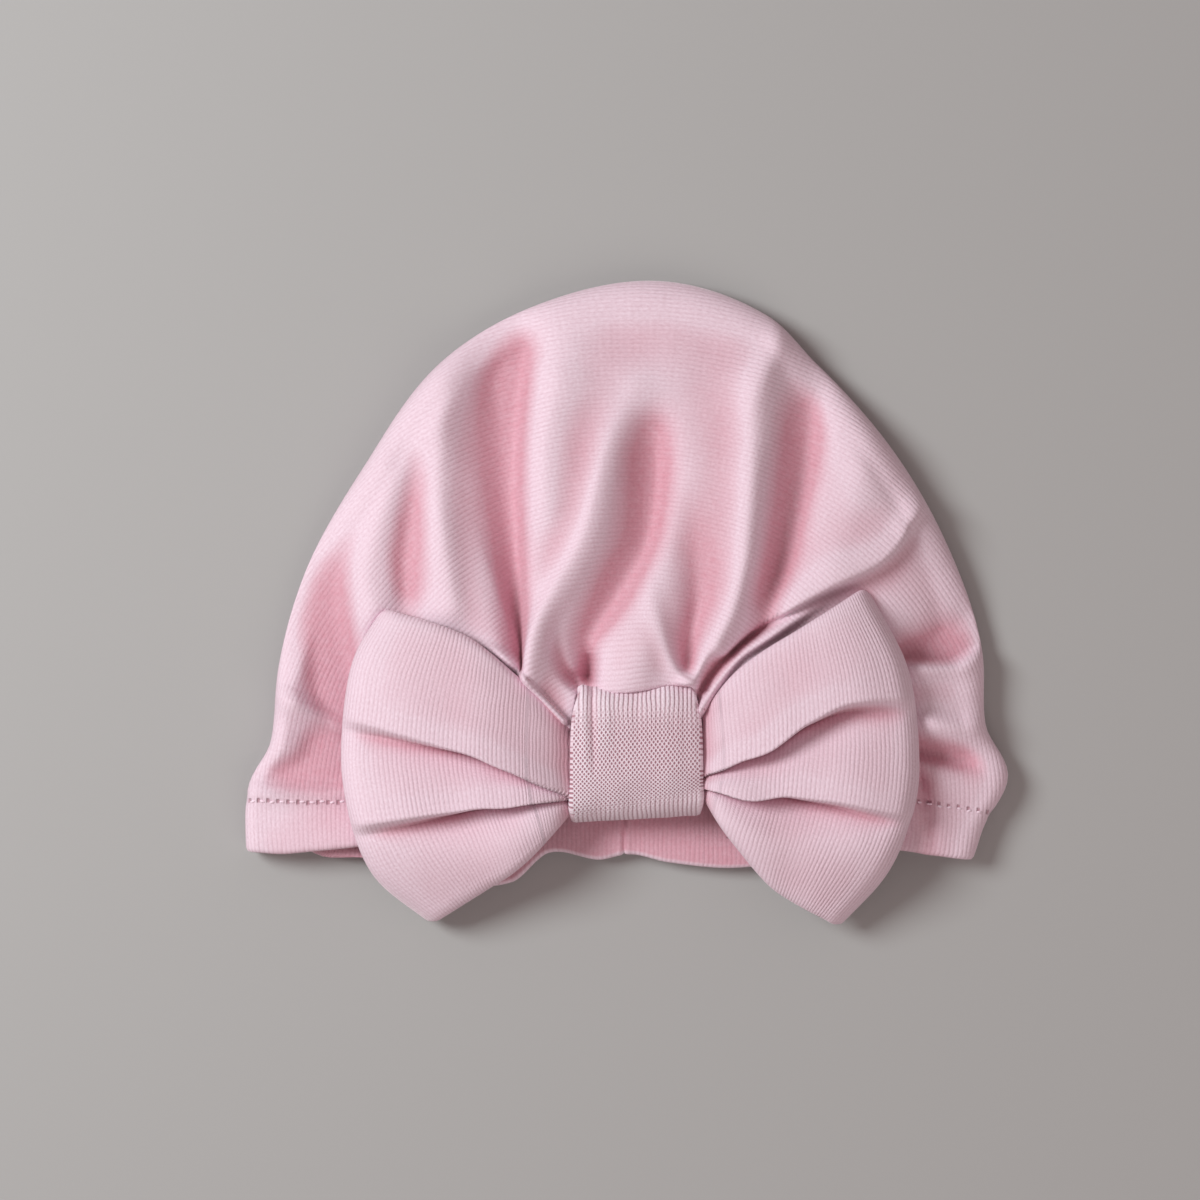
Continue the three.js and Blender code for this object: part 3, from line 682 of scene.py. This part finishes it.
def build_cap(sizes):
    outer, flat, front_count, turns = cap_grid()
    front_last = front_count + ROLL_STEPS // 2 - 1
    wide = outer.shape[1]
    layer = np.arange(wide)[None, :] > front_last
    front_edges = [outer[0, :front_last + 1, :2], outer[-1, :front_last + 1, :2]]
    back_edge = [outer[0, front_last:, :2], outer[1:, -1, :2], outer[-1, front_last:, :2][::-1]]
    x, y, z = outer[..., 0], outer[..., 1], outer[..., 2]
    from_front = np.minimum(*[off_line(edge[::4], x, y)[0] for edge in front_edges])
    from_back = off_line(np.concatenate(back_edge)[::4], x, y)[0]
    from_edge = np.where(layer, from_back, from_front)
    in_hem = ease(HEM_DEPTH + 1, HEM_DEPTH - 1, from_edge)
    on_floor = z < 0.01
    in_knot = ease(3, -3, outside(KNOT_PRINT, x, y)) * (z > 5)
    thickness = mix(sizes.cap_cloth / MM, sizes.hem_cloth / MM, in_hem)
    thickness = mix(thickness, KNOT_CLOTH, in_knot)
    from_seam = x - SEAM["x"]
    seam = hump(SEAM["ridge"][0], from_seam, SEAM["ridge"][1])
    seam = seam - hump(SEAM["groove"][0], from_seam, SEAM["groove"][1])
    thickness = thickness + np.where(layer, seam, 0)
    groove = np.exp(-((from_front - hem_depth(x)) / STITCH_GROOVE["half"]) ** 2)
    sink = STITCH_GROOVE["depth"] * groove * ~layer * (np.abs(x) > STITCH_GROOVE["from"])
    outer = tucked(outer - grid_normals(outer, False) * sink[..., None])
    drawn = DRAWN_HEM * ease(16, 0, from_front) * ease(-91, -80, x) * ease(-40, -58, x)
    outer[..., 1] -= drawn * ~layer * ease(3, 6, z)
    at_edge = ease(12, 0, from_edge) * layer * on_floor
    at_sides = np.maximum(ease(-70, -80, x), ease(52, 62, x))
    outer[..., 1] += BACK_EDGE["moved"] * at_edge * at_sides
    outer[..., 2] += BACK_EDGE["lifted"] * at_edge * (1 - at_sides)

    def facing(places, normals):
        normals = np.where(on_floor[..., None], np.array([0.0, 0.0, -1.0]), normals)
        return np.where(in_knot[..., None] > 0.5, np.array([0.0, 0.0, 1.0]), normals)

    inner = inner_face(outer, thickness, False, facing)
    reach = np.linalg.norm(flat - joined(GATHER["x"], GATHER["y"]), axis=-1)
    tail = np.linalg.norm(np.diff(outer[:, front_count - 1:], axis=1), axis=-1)
    reach = np.concatenate([reach, reach[:, -1:] + np.cumsum(tail, axis=1)], axis=1)
    back_share = np.clip((np.arange(wide) - front_last) / (wide - 1 - front_last), 0, 1)[None, :]
    reach = mix(reach, np.abs(from_seam) + 0.4, ease(0.1, 0.8, back_share))
    uv = joined(np.where(layer, y, np.radians(turns)[:, None] * AROUND), reach)
    covered = np.abs(x) < STITCH_GROOVE["holes_from"]
    from_stitches = from_edge - hem_depth(x) * ~layer - HEM_DEPTH * layer
    hem = joined(x, np.where(covered, NO_STITCHES, from_stitches))
    return cloth_object("cap_cloth", outer, inner, uv, False, hem)


def bow_top(wing, along, across):
    """Height of the bow's front cloth, and how far each lobe hangs over the next one below it."""
    height = bow_front(along)
    over = np.zeros_like(across)
    for pleat in wing["pleats"]:
        off = across - through(list(zip(PLEAT_PLACES, pleat)))(along)
        soft = mix(0.022, 0.05, along)
        step = ease(-soft, soft, off)
        deep = PLEAT["depth"] * mix(0.28, 1, ease(0, 0.3, along)) * ease(1.3, 0.5, along)
        above = 0.26 * deep * np.exp(-np.clip(off, 0, None) / 0.4)
        below = deep * np.exp(-np.clip(-off, 0, None) / mix(0.1, 0.42, ease(0, 0.6, along)))
        height = height + step * above - (1 - step) * below
        over = over + deep * 0.36 * np.exp(-((off - soft) / (2.4 * soft)) ** 2)
    height = height - mix(WAIST_ROLL, PLEAT["edge"], ease(0, 0.3, along)) * across ** 4
    curl = np.clip((np.abs(across) - 1 + PLEAT["curled"]) / PLEAT["curled"], 0, 1)
    height = height - PLEAT["curl"] * (1 - np.sqrt(1 - 0.96 * curl * curl))
    return height, over


def inside_front(along):
    """How far the back cloth of a loop reaches across, so that the front cloth hides its edges."""
    return mix(0.8, 0.92, ease(0, 0.25, along))


def build_bow(sizes):
    across = np.linspace(-1, 1, 161)
    back = np.linspace(0, LOOP_TURN, 24)
    turn_angles = np.radians(np.linspace(-90, 90, 17)[1:-1])
    front = np.linspace(LOOP_TURN, 0.0, 74)
    turned = [(LOOP_TURN + (1 - LOOP_TURN) * math.cos(t), 0.5 + 0.5 * math.sin(t)) for t in turn_angles]
    stops = [(along, 0) for along in back] + turned + [(along, 1) for along in front]

    def wing_rows(side):
        wing = WINGS[side]
        rows = []
        for along, share in stops:
            x, y = wing_plan(wing, np.full_like(across, along), across * mix(inside_front(along), 1, share))
            low = mix(BOW_BACK, BOW_DROOP["lowest"], ease(BOW_DROOP["from"], BOW_DROOP["to"], y))
            top, over = bow_top(wing, along, across)
            dents = 0.25 * soft_noise(x, y, 9, 11 + side) + 0.5 * soft_noise(x, y, 17, 15 + side)
            high = top - FRONT_FOLLOWS * (BOW_BACK - low) + dents * math.sin(math.pi * min(1, along + 0.1))
            edge = 0.35 * soft_noise(along * 6, across * 0 + side * 5, 1, 13) * across ** 8
            rows.append(joined(x, y - over * share + edge, mix(low, high, share)))
        return rows

    def waist_rows(share):
        rows = []
        left, right = (wing["waist"] for wing in WINGS)
        for x in np.linspace(left[0], right[0], 26)[1:-1]:
            place = (x - left[0]) / (right[0] - left[0])
            half = (across + 1) / 2
            y = mix(mix(left[1], left[2], half), mix(right[1], right[2], half), place)
            middle = 0.8 * math.sin(math.pi * place)
            z = WAIST_TOP + middle - WAIST_ROLL * across ** 4 if share else BOW_BACK
            rows.append(joined(x, y, z))
        return rows

    outer = tucked(np.array(wing_rows(0) + waist_rows(1) + wing_rows(1)[::-1] + waist_rows(0)[::-1]))
    thickness = np.full(outer.shape[:2], sizes.bow_cloth / MM)
    inner = inner_face(outer, thickness, True)
    middle = outer[:, outer.shape[1] // 2]
    run = np.concatenate([[0], np.cumsum(np.linalg.norm(np.diff(middle, axis=0), axis=1))])
    return cloth_object("bow_cloth", outer, inner, joined(across * LOOP_HALF, run[:, None]), True)


def build_band(sizes):
    share = np.linspace(0, 1, 161)
    place = np.linspace(-1, 1, 101)
    line = along_line(BAND_LINE)
    y, z = line(share)
    ahead = line(np.minimum(1, share + 0.01))
    behind = line(np.maximum(0, share - 0.01))
    run = np.hypot(ahead[0] - behind[0], ahead[1] - behind[1])
    out_y = -(ahead[1] - behind[1]) / run
    out_z = (ahead[0] - behind[0]) / run
    half = through(BAND_HALF)(share)
    cloth = sizes.band_cloth / MM
    ends = ease(0.52, 0.4, share) * ease(0.05, 0.2, share)
    x = BAND["middle"] + place[None, :] * half[:, None]
    out = cloth / 2 - BAND["roll"] * ends[:, None] * place[None, :] ** 4
    for middle, depth, width, last in BAND_CREASES:
        lean = middle + 2.2 * (share[:, None] - 0.1)
        fade = ease(0.02, 0.1, share) * ease(last, last * 0.6, share)
        out = out - hump(depth * fade[:, None], x - lean, width)
    out = out + 0.12 * soft_noise(x, np.broadcast_to(share[:, None] * 80, x.shape), 4, 21)
    top = through(BAND_TOP)(x) * ease(0.24, 0.06, share)[:, None]
    outer_y = y[:, None] + top - out * out_y[:, None]
    outer = tucked(joined(x, outer_y, z[:, None] - out * out_z[:, None]))
    inner = inner_face(outer, np.full(outer.shape[:2], cloth), False)
    run = np.concatenate([[0], np.cumsum(np.hypot(np.diff(y), np.diff(z)))])
    return cloth_object("band_cloth", outer, inner, joined(run[:, None], x), False)


def build_stitches(cap, pitch):
    """Short stitches of thread lying in the hem's groove, in one mesh."""
    tree = BVHTree.FromPolygons([vertex.co for vertex in cap.data.vertices],
                                [polygon.vertices for polygon in cap.data.polygons])
    places = []
    for turn, side, first, last in STITCH_ROWS:
        angle = math.radians(turn)
        reach = float(rim_reach(turn))
        corner = (GATHER["x"] + reach * math.cos(angle), GATHER["y"] + reach * math.sin(angle))
        slope = (corner[1] - GATHER["y"]) / (corner[0] - GATHER[side])
        for x in np.arange(first, last, pitch):
            places.append((x, GATHER["y"] + (x - GATHER[side]) * slope + hem_depth(x) - 0.25))
    vertices = []
    faces = []
    rings, sides = 7, 8
    wobble = np.random.default_rng(41)
    for place in places:
        ground = []
        turn = wobble.uniform(-STITCH["turn"], STITCH["turn"])
        shift = wobble.uniform(-STITCH["shift"], STITCH["shift"])
        for k in range(rings):
            step = (k / (rings - 1) - 0.5) * (pitch * STITCH["length"])
            x = place[0] + step * math.cos(turn)
            y = place[1] + shift + step * math.sin(turn)
            start = Vector(((x + SHIFT[0]) * MM, (y + SHIFT[1]) * MM, 0.06))
            hit = tree.ray_cast(start, Vector((0, 0, -1)))[0]
            ground.append(hit if hit else start)
        base = len(vertices)
        for k, point in enumerate(ground):
            arch = math.sin(math.pi * (k + 0.35) / (rings - 0.3))
            size = STITCH["radius"] * MM * max(0.25, arch ** 0.5)
            rise = (0.18 * arch - 0.16) * MM
            for s in range(sides):
                around = 2 * math.pi * s / sides
                y = point.y + size * math.cos(around)
                vertices.append((point.x, y, point.z + rise + size * math.sin(around)))
        for k in range(rings - 1):
            for s in range(sides):
                a = base + k * sides + s
                b = base + k * sides + (s + 1) % sides
                faces.append((a, b, b + sides, a + sides))
        faces.append(tuple(base + s for s in reversed(range(sides))))
        faces.append(tuple(base + (rings - 1) * sides + s for s in range(sides)))
    return smooth_piece("hem_stitching", vertices, faces)


class Wiring:
    """Short calls that add nodes to a tree and join them."""

    def __init__(self, tree):
        self.tree = tree

    def node(self, kind, **settings):
        node = self.tree.nodes.new(kind)
        for key, value in settings.items():
            setattr(node, key, value)
        return node

    def feed(self, target, value):
        if isinstance(value, bpy.types.NodeSocket):
            self.tree.links.new(value, target)
        else:
            target.default_value = value

    def made(self, kind, output, inputs, **settings):
        """Output of a new node whose inputs are fed."""
        node = self.node(kind, **settings)
        for name, value in inputs.items():
            self.feed(node.inputs[name], value)
        return node.outputs[output]

    def math(self, operation, first, second=0.0, third=0.0):
        return self.made("ShaderNodeMath", 0, {0: first, 1: second, 2: third}, operation=operation)

    def times_plus(self, first, second, third):
        return self.math("MULTIPLY_ADD", first, second, third)

    def wave(self, value):
        """Row of round tops, one for each whole number of the value."""
        return self.math("ABSOLUTE", self.math("SINE", self.math("MULTIPLY", value, math.pi)))

    def blend(self, share, first, second):
        return self.made("ShaderNodeMix", 2, {0: share, 6: first, 7: second}, data_type="RGBA")

    def noise(self, vector, scale, detail=2.0, rough=0.5):
        inputs = {"Vector": vector, "Scale": scale, "Detail": detail, "Roughness": rough}
        return self.made("ShaderNodeTexNoise", "Fac", inputs)

    def between(self, value, start, end, kind="SMOOTHSTEP", top=1.0):
        """Value that goes from 0 at the start to the top at the end."""
        inputs = {"Value": value, "From Min": start, "From Max": end, "To Max": top}
        return self.made("ShaderNodeMapRange", 0, inputs, interpolation_type=kind)

    def uv(self, name):
        return self.made("ShaderNodeUVMap", 0, {}, uv_map=name)

    def split(self, vector):
        node = self.node("ShaderNodeSeparateXYZ")
        self.feed(node.inputs[0], vector)
        return node.outputs

    def bump(self, shader, height, distance):
        relief = self.made("ShaderNodeBump", 0, {"Height": height, "Strength": 1.0, "Distance": distance})
        self.feed(shader.inputs["Normal"], relief)


def knit_tree(name, pitches):
    """Node group of a knit with its sockets: wiring, entry, the cloth's two directions, and exit."""
    tree = bpy.data.node_groups.new(name, "ShaderNodeTree")
    tree.interface.new_socket(name="Cloth", in_out="INPUT", socket_type="NodeSocketVector")
    for title, value in pitches:
        item = tree.interface.new_socket(name=title, in_out="INPUT", socket_type="NodeSocketFloat")
        item.default_value = value
    for title in ("Height", "Groove"):
        tree.interface.new_socket(name=title, in_out="OUTPUT", socket_type="NodeSocketFloat")
    wire = Wiring(tree)
    entry = wire.node("NodeGroupInput")
    split = wire.split(entry.outputs["Cloth"])
    return tree, wire, entry.outputs, split, wire.node("NodeGroupOutput").inputs


def rib_knit_group():
    """Node group of the rib jersey: ribs across the cloth's second direction, stitches along them."""
    pitches = (("Rib Pitch", 0.00117), ("Stitch Pitch", 0.0009))
    tree, wire, entry, split, leave = knit_tree("Rib Knit", pitches)
    cloth = entry["Cloth"]
    drift = wire.times_plus(wire.noise(cloth, 120.0, 1.0), 0.0007, -0.00035)
    wave = wire.wave(wire.math("DIVIDE", wire.math("ADD", split[1], drift), entry["Rib Pitch"]))
    lag = wire.math("MULTIPLY", wave, 0.35)
    bead = wire.wave(wire.math("ADD", wire.math("DIVIDE", split[0], entry["Stitch Pitch"]), lag))
    yarn = wire.noise(cloth, 2200.0, 3.0, 0.7)
    fuzz = wire.noise(cloth, 520.0, 2.0, 0.6)
    patch = wire.noise(cloth, 90.0, 2.0)
    ribs = wire.math("MULTIPLY", wave, wire.times_plus(patch, 0.9, 0.1))
    height = wire.times_plus(bead, 0.14, ribs)
    height = wire.times_plus(yarn, 0.45, height)
    height = wire.times_plus(fuzz, 0.5, height)
    groove = wire.math("POWER", wire.math("SUBTRACT", 1.0, wave), 1.4)
    groove = wire.times_plus(wire.math("SUBTRACT", 1.0, bead), 0.14, wire.math("MULTIPLY", groove, 0.8))
    groove = wire.math("MULTIPLY", groove, wire.times_plus(yarn, 1.0, 0.1))
    groove = wire.math("MULTIPLY", groove, wire.times_plus(patch, 1.2, 0.3))
    wire.feed(leave["Height"], height)
    wire.feed(leave["Groove"], groove)
    return tree


def lattice_knit_group():
    """Node group of the band's open knit: dark eyes in staggered rows, with plain ribs at its ends."""
    tree, wire, entry, split, leave = knit_tree("Lattice Knit", (("Rib Pitch", 0.00117),))
    cloth = entry["Cloth"]
    drift = wire.times_plus(wire.noise(cloth, 150.0, 1.0), 0.0009, -0.00045)
    across = wire.math("ADD", split[1], drift)
    rib = wire.math("DIVIDE", across, entry["Rib Pitch"])
    along = wire.times_plus(across, 0.1, split[0])
    rank = wire.math("DIVIDE", along, wire.math("MULTIPLY", entry["Rib Pitch"], 1.26))
    column = wire.math("MULTIPLY", rib, 1.09)
    first = wire.wave(wire.math("ADD", column, rank))
    second = wire.wave(wire.math("SUBTRACT", column, rank))
    eyes = wire.between(wire.math("MULTIPLY", first, second), 0.4, 0.9)
    low = wire.between(wire.times_plus(split[1], 0.16, split[0]), 0.0315, 0.0375)
    high = wire.between(split[0], 0.0165, 0.0075)
    plain = wire.math("MAXIMUM", low, high)
    open_knit = wire.math("SUBTRACT", 1.0, plain)
    ribs = wire.math("POWER", wire.math("SUBTRACT", 1.0, wire.wave(rib)), 1.6)
    groove = wire.math("MULTIPLY", eyes, wire.times_plus(open_knit, 0.92, 0.08))
    groove = wire.times_plus(ribs, wire.times_plus(plain, 0.6, 0.12), groove)
    yarn = wire.noise(cloth, 2200.0, 3.0, 0.7)
    wire.feed(leave["Height"], wire.math("SUBTRACT", wire.math("MULTIPLY", yarn, 0.3), groove))
    wire.feed(leave["Groove"], wire.math("MINIMUM", groove, 1.0))
    return tree


def hem_holes(wire, pitch):
    """Mask of the needle holes along the hem, from the cloth's hem map."""
    place = wire.uv("hem")
    split = wire.split(place)
    wander = wire.times_plus(wire.noise(place, 300.0, 1.0), 0.0006, -0.0003)
    off = wire.math("ABSOLUTE", wire.math("ADD", split[1], wander))
    beat = wire.math("MULTIPLY", wire.math("DIVIDE", split[0], pitch), 2 * math.pi)
    along = wire.between(wire.math("COSINE", beat), 0.25, 0.95)
    return wire.math("MULTIPLY", wire.between(off, 0.0007, 0.0002), along)


def opaque(colour_value):
    return tuple(colour_value) + (1.0,)


def empty_material(name):
    """New material with the wiring of its nodes and its shader."""
    material = bpy.data.materials.new(name)
    material.use_nodes = True
    return material, Wiring(material.node_tree), material.node_tree.nodes["Principled BSDF"]


def knit_material(name, make_group, scene, light, stitched=False):
    """Soft jersey: the knit group gives its grooves and relief, painted shade a deeper pink in the folds
    and paler crests.
    """
    sizes, colours, knit = scene.headwrap_sizes, scene.headwrap_colours, KNITS[name]
    material, wire, shader = empty_material(name)
    place = wire.uv("cloth")
    group = wire.node("ShaderNodeGroup", node_tree=make_group())
    wire.feed(group.inputs["Cloth"], place)
    wire.feed(group.inputs["Rib Pitch"], sizes.rib_pitch * knit["pitch"])
    uneven = wire.noise(wire.node("ShaderNodeTexCoord").outputs["Object"], 42.0, 3.0, 0.6)
    # Painted shade: the fold depth lays the fold colour into the hollows and leaves the crests paler
    fold = wire.node("ShaderNodeAttribute", attribute_name="fold_shade_depth").outputs["Fac"]
    hollow = wire.times_plus(uneven, 0.8, wire.math("ADD", fold, knit["shade_shift"] - 0.4))
    hollow = wire.between(hollow, -0.7, 1.4, "LINEAR")
    base = wire.blend(hollow, opaque(light), opaque(colours.fold))
    fuzz = wire.noise(place, 800.0, 4.0, 0.7)
    base = wire.blend(wire.times_plus(fuzz, 0.7, -0.2), base, opaque(light))
    heather = wire.between(wire.noise(place, 1900.0, 2.0, 0.65), 0.36, 0.62, "LINEAR", 0.16)
    base = wire.blend(heather, base, opaque(colours.groove))
    groove = wire.math("MULTIPLY", group.outputs["Groove"], knit["grooves"])
    base = wire.blend(groove, base, opaque(colours.groove))
    height = group.outputs["Height"]
    if stitched:
        holes = hem_holes(wire, sizes.stitch_pitch)
        base = wire.blend(wire.math("MULTIPLY", holes, 0.6), base, opaque(colours.groove))
        height = wire.times_plus(holes, -2.6, height)
    wire.feed(shader.inputs["Base Color"], base)
    wire.bump(shader, height, knit["relief"])
    for title, value in (("Roughness", 0.92), ("Sheen Weight", 0.45), ("Sheen Roughness", 0.35),
                         ("Sheen Tint", (1.0, 0.92, 0.95, 1.0)), ("Specular IOR Level", 0.15)):
        shader.inputs[title].default_value = value
    return material


def thread_material(colours):
    """Sewing thread: twisted, a little paler and smoother than the jersey."""
    material, wire, shader = empty_material("thread")
    twist = wire.noise(wire.node("ShaderNodeTexCoord").outputs["Object"], 3000.0, 2.0)
    light = [min(1.0, value * 1.08) for value in colours.cloth]
    wire.feed(shader.inputs["Base Color"], wire.blend(twist, opaque(colours.cloth), opaque(light)))
    wire.bump(shader, twist, 0.00008)
    shader.inputs["Roughness"].default_value = 0.6
    return material


def rib_knit():
    return bpy.data.node_groups.get("Rib Knit") or rib_knit_group()


def lattice_knit():
    return bpy.data.node_groups.get("Lattice Knit") or lattice_knit_group()


def settle(piece, node, material):
    """What every piece of cloth needs: its material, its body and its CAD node."""
    piece.data.materials.append(material)
    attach(piece, "root")
    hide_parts(node)


class HEADWRAP_OT_cap(bpy.types.Operator):
    """Adds the gathered cap with its open hem"""

    bl_idname = "headwrap.add_cap"
    bl_label = "Cap"

    def execute(self, context):
        scene = context.scene
        piece = build_cap(scene.headwrap_sizes)
        material = knit_material("cap_jersey", rib_knit, scene, scene.headwrap_colours.cloth, True)
        settle(piece, "cap", material)
        return {"FINISHED"}


class HEADWRAP_OT_stitches(bpy.types.Operator):
    """Adds the stitches of the turned hem"""

    bl_idname = "headwrap.add_stitches"
    bl_label = "Hem stitches"

    def execute(self, context):
        scene = context.scene
        piece = build_stitches(bpy.data.objects["cap_cloth"], scene.headwrap_sizes.stitch_pitch / MM)
        piece.data.materials.append(thread_material(scene.headwrap_colours))
        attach(piece, "root")
        return {"FINISHED"}


class HEADWRAP_OT_bow(bpy.types.Operator):
    """Adds the bow with its two pleated loops"""

    bl_idname = "headwrap.add_bow"
    bl_label = "Bow"

    def execute(self, context):
        scene = context.scene
        piece = build_bow(scene.headwrap_sizes)
        material = knit_material("bow_jersey", rib_knit, scene, scene.headwrap_colours.cloth)
        settle(piece, "bow", material)
        return {"FINISHED"}


class HEADWRAP_OT_band(bpy.types.Operator):
    """Adds the knot band round the waist of the bow"""

    bl_idname = "headwrap.add_band"
    bl_label = "Knot band"

    def execute(self, context):
        scene = context.scene
        piece = build_band(scene.headwrap_sizes)
        material = knit_material("band_jersey", lattice_knit, scene, scene.headwrap_colours.band)
        settle(piece, "knot_band", material)
        return {"FINISHED"}


def area_light(name, place, size, power, colour):
    """Round light that looks at the middle of the stage."""
    data = bpy.data.lights.new(name, "AREA")
    data.shape = "DISK"
    data.size = size
    data.energy = power
    data.color = colour
    light = bpy.data.objects.new(name, data)
    light.location = place
    x, y, z = place
    light.rotation_euler = (math.atan2(math.hypot(x, y), z), 0, math.atan2(x, -y))
    bpy.context.scene.collection.objects.link(light)


class HEADWRAP_OT_stage(bpy.types.Operator):
    """Adds the floor, the lights and the camera"""

    bl_idname = "headwrap.add_stage"
    bl_label = "Stage"

    def execute(self, context):
        scene = context.scene
        bpy.ops.object.select_all(action="DESELECT")
        bpy.ops.mesh.primitive_plane_add(size=4.0, location=(0, 0, 0))
        floor = bpy.context.object
        floor.name = "floor"
        material, _, shader = empty_material("floor_plain")
        shader.inputs["Base Color"].default_value = opaque(scene.headwrap_colours.floor)
        shader.inputs["Roughness"].default_value = 0.85
        floor.data.materials.append(material)
        for light in LIGHTS:
            area_light(**light)
        world = bpy.data.worlds.new("studio")
        world.use_nodes = True
        world.node_tree.nodes["Background"].inputs[0].default_value = WORLD["colour"]
        world.node_tree.nodes["Background"].inputs[1].default_value = WORLD["strength"]
        scene.world = world
        data = bpy.data.cameras.new("camera")
        reach = CAMERA["height"] - CAMERA["plane"]
        data.sensor_width = CAMERA["sensor"]
        data.lens = CAMERA["sensor"] * reach / CAMERA["width"]
        data.clip_start = 0.05
        camera = bpy.data.objects.new("camera", data)
        centre = (np.array(CAMERA["centre"]) + SHIFT[:2]) * MM
        camera.location = (centre[0], centre[1], CAMERA["height"])
        scene.collection.objects.link(camera)
        scene.camera = camera
        scene.view_settings.view_transform = "Standard"
        return {"FINISHED"}


class HEADWRAP_PT_panel(bpy.types.Panel):
    """Lists the pieces of the headwrap and their sizes"""

    bl_idname = "HEADWRAP_PT_panel"
    bl_label = "Headwrap"
    bl_space_type = "VIEW_3D"
    bl_region_type = "UI"
    bl_category = "Headwrap"

    def draw(self, context):
        layout = self.layout
        for group in (context.scene.headwrap_sizes, context.scene.headwrap_colours):
            for name in group.__annotations__:
                layout.prop(group, name)
        for operator in OPERATORS:
            layout.operator(operator.bl_idname)


OPERATORS = (HEADWRAP_OT_cap, HEADWRAP_OT_stitches, HEADWRAP_OT_bow, HEADWRAP_OT_band,
             HEADWRAP_OT_stage)
CLASSES = (HeadwrapSizes, HeadwrapColours) + OPERATORS + (HEADWRAP_PT_panel,)


def register():
    for cls in CLASSES:
        bpy.utils.register_class(cls)
    bpy.types.Scene.headwrap_sizes = bpy.props.PointerProperty(type=HeadwrapSizes)
    bpy.types.Scene.headwrap_colours = bpy.props.PointerProperty(type=HeadwrapColours)


def unregister():
    del bpy.types.Scene.headwrap_colours
    del bpy.types.Scene.headwrap_sizes
    for cls in reversed(CLASSES):
        bpy.utils.unregister_class(cls)


def plain(box):
    return [[float(value) for value in corner] for corner in box]


def main():
    register()
    bpy.ops.headwrap.add_cap()
    bpy.ops.headwrap.add_stitches()
    bpy.ops.headwrap.add_bow()
    bpy.ops.headwrap.add_band()
    bpy.ops.headwrap.add_stage()


if __name__ == "__main__":
    main()
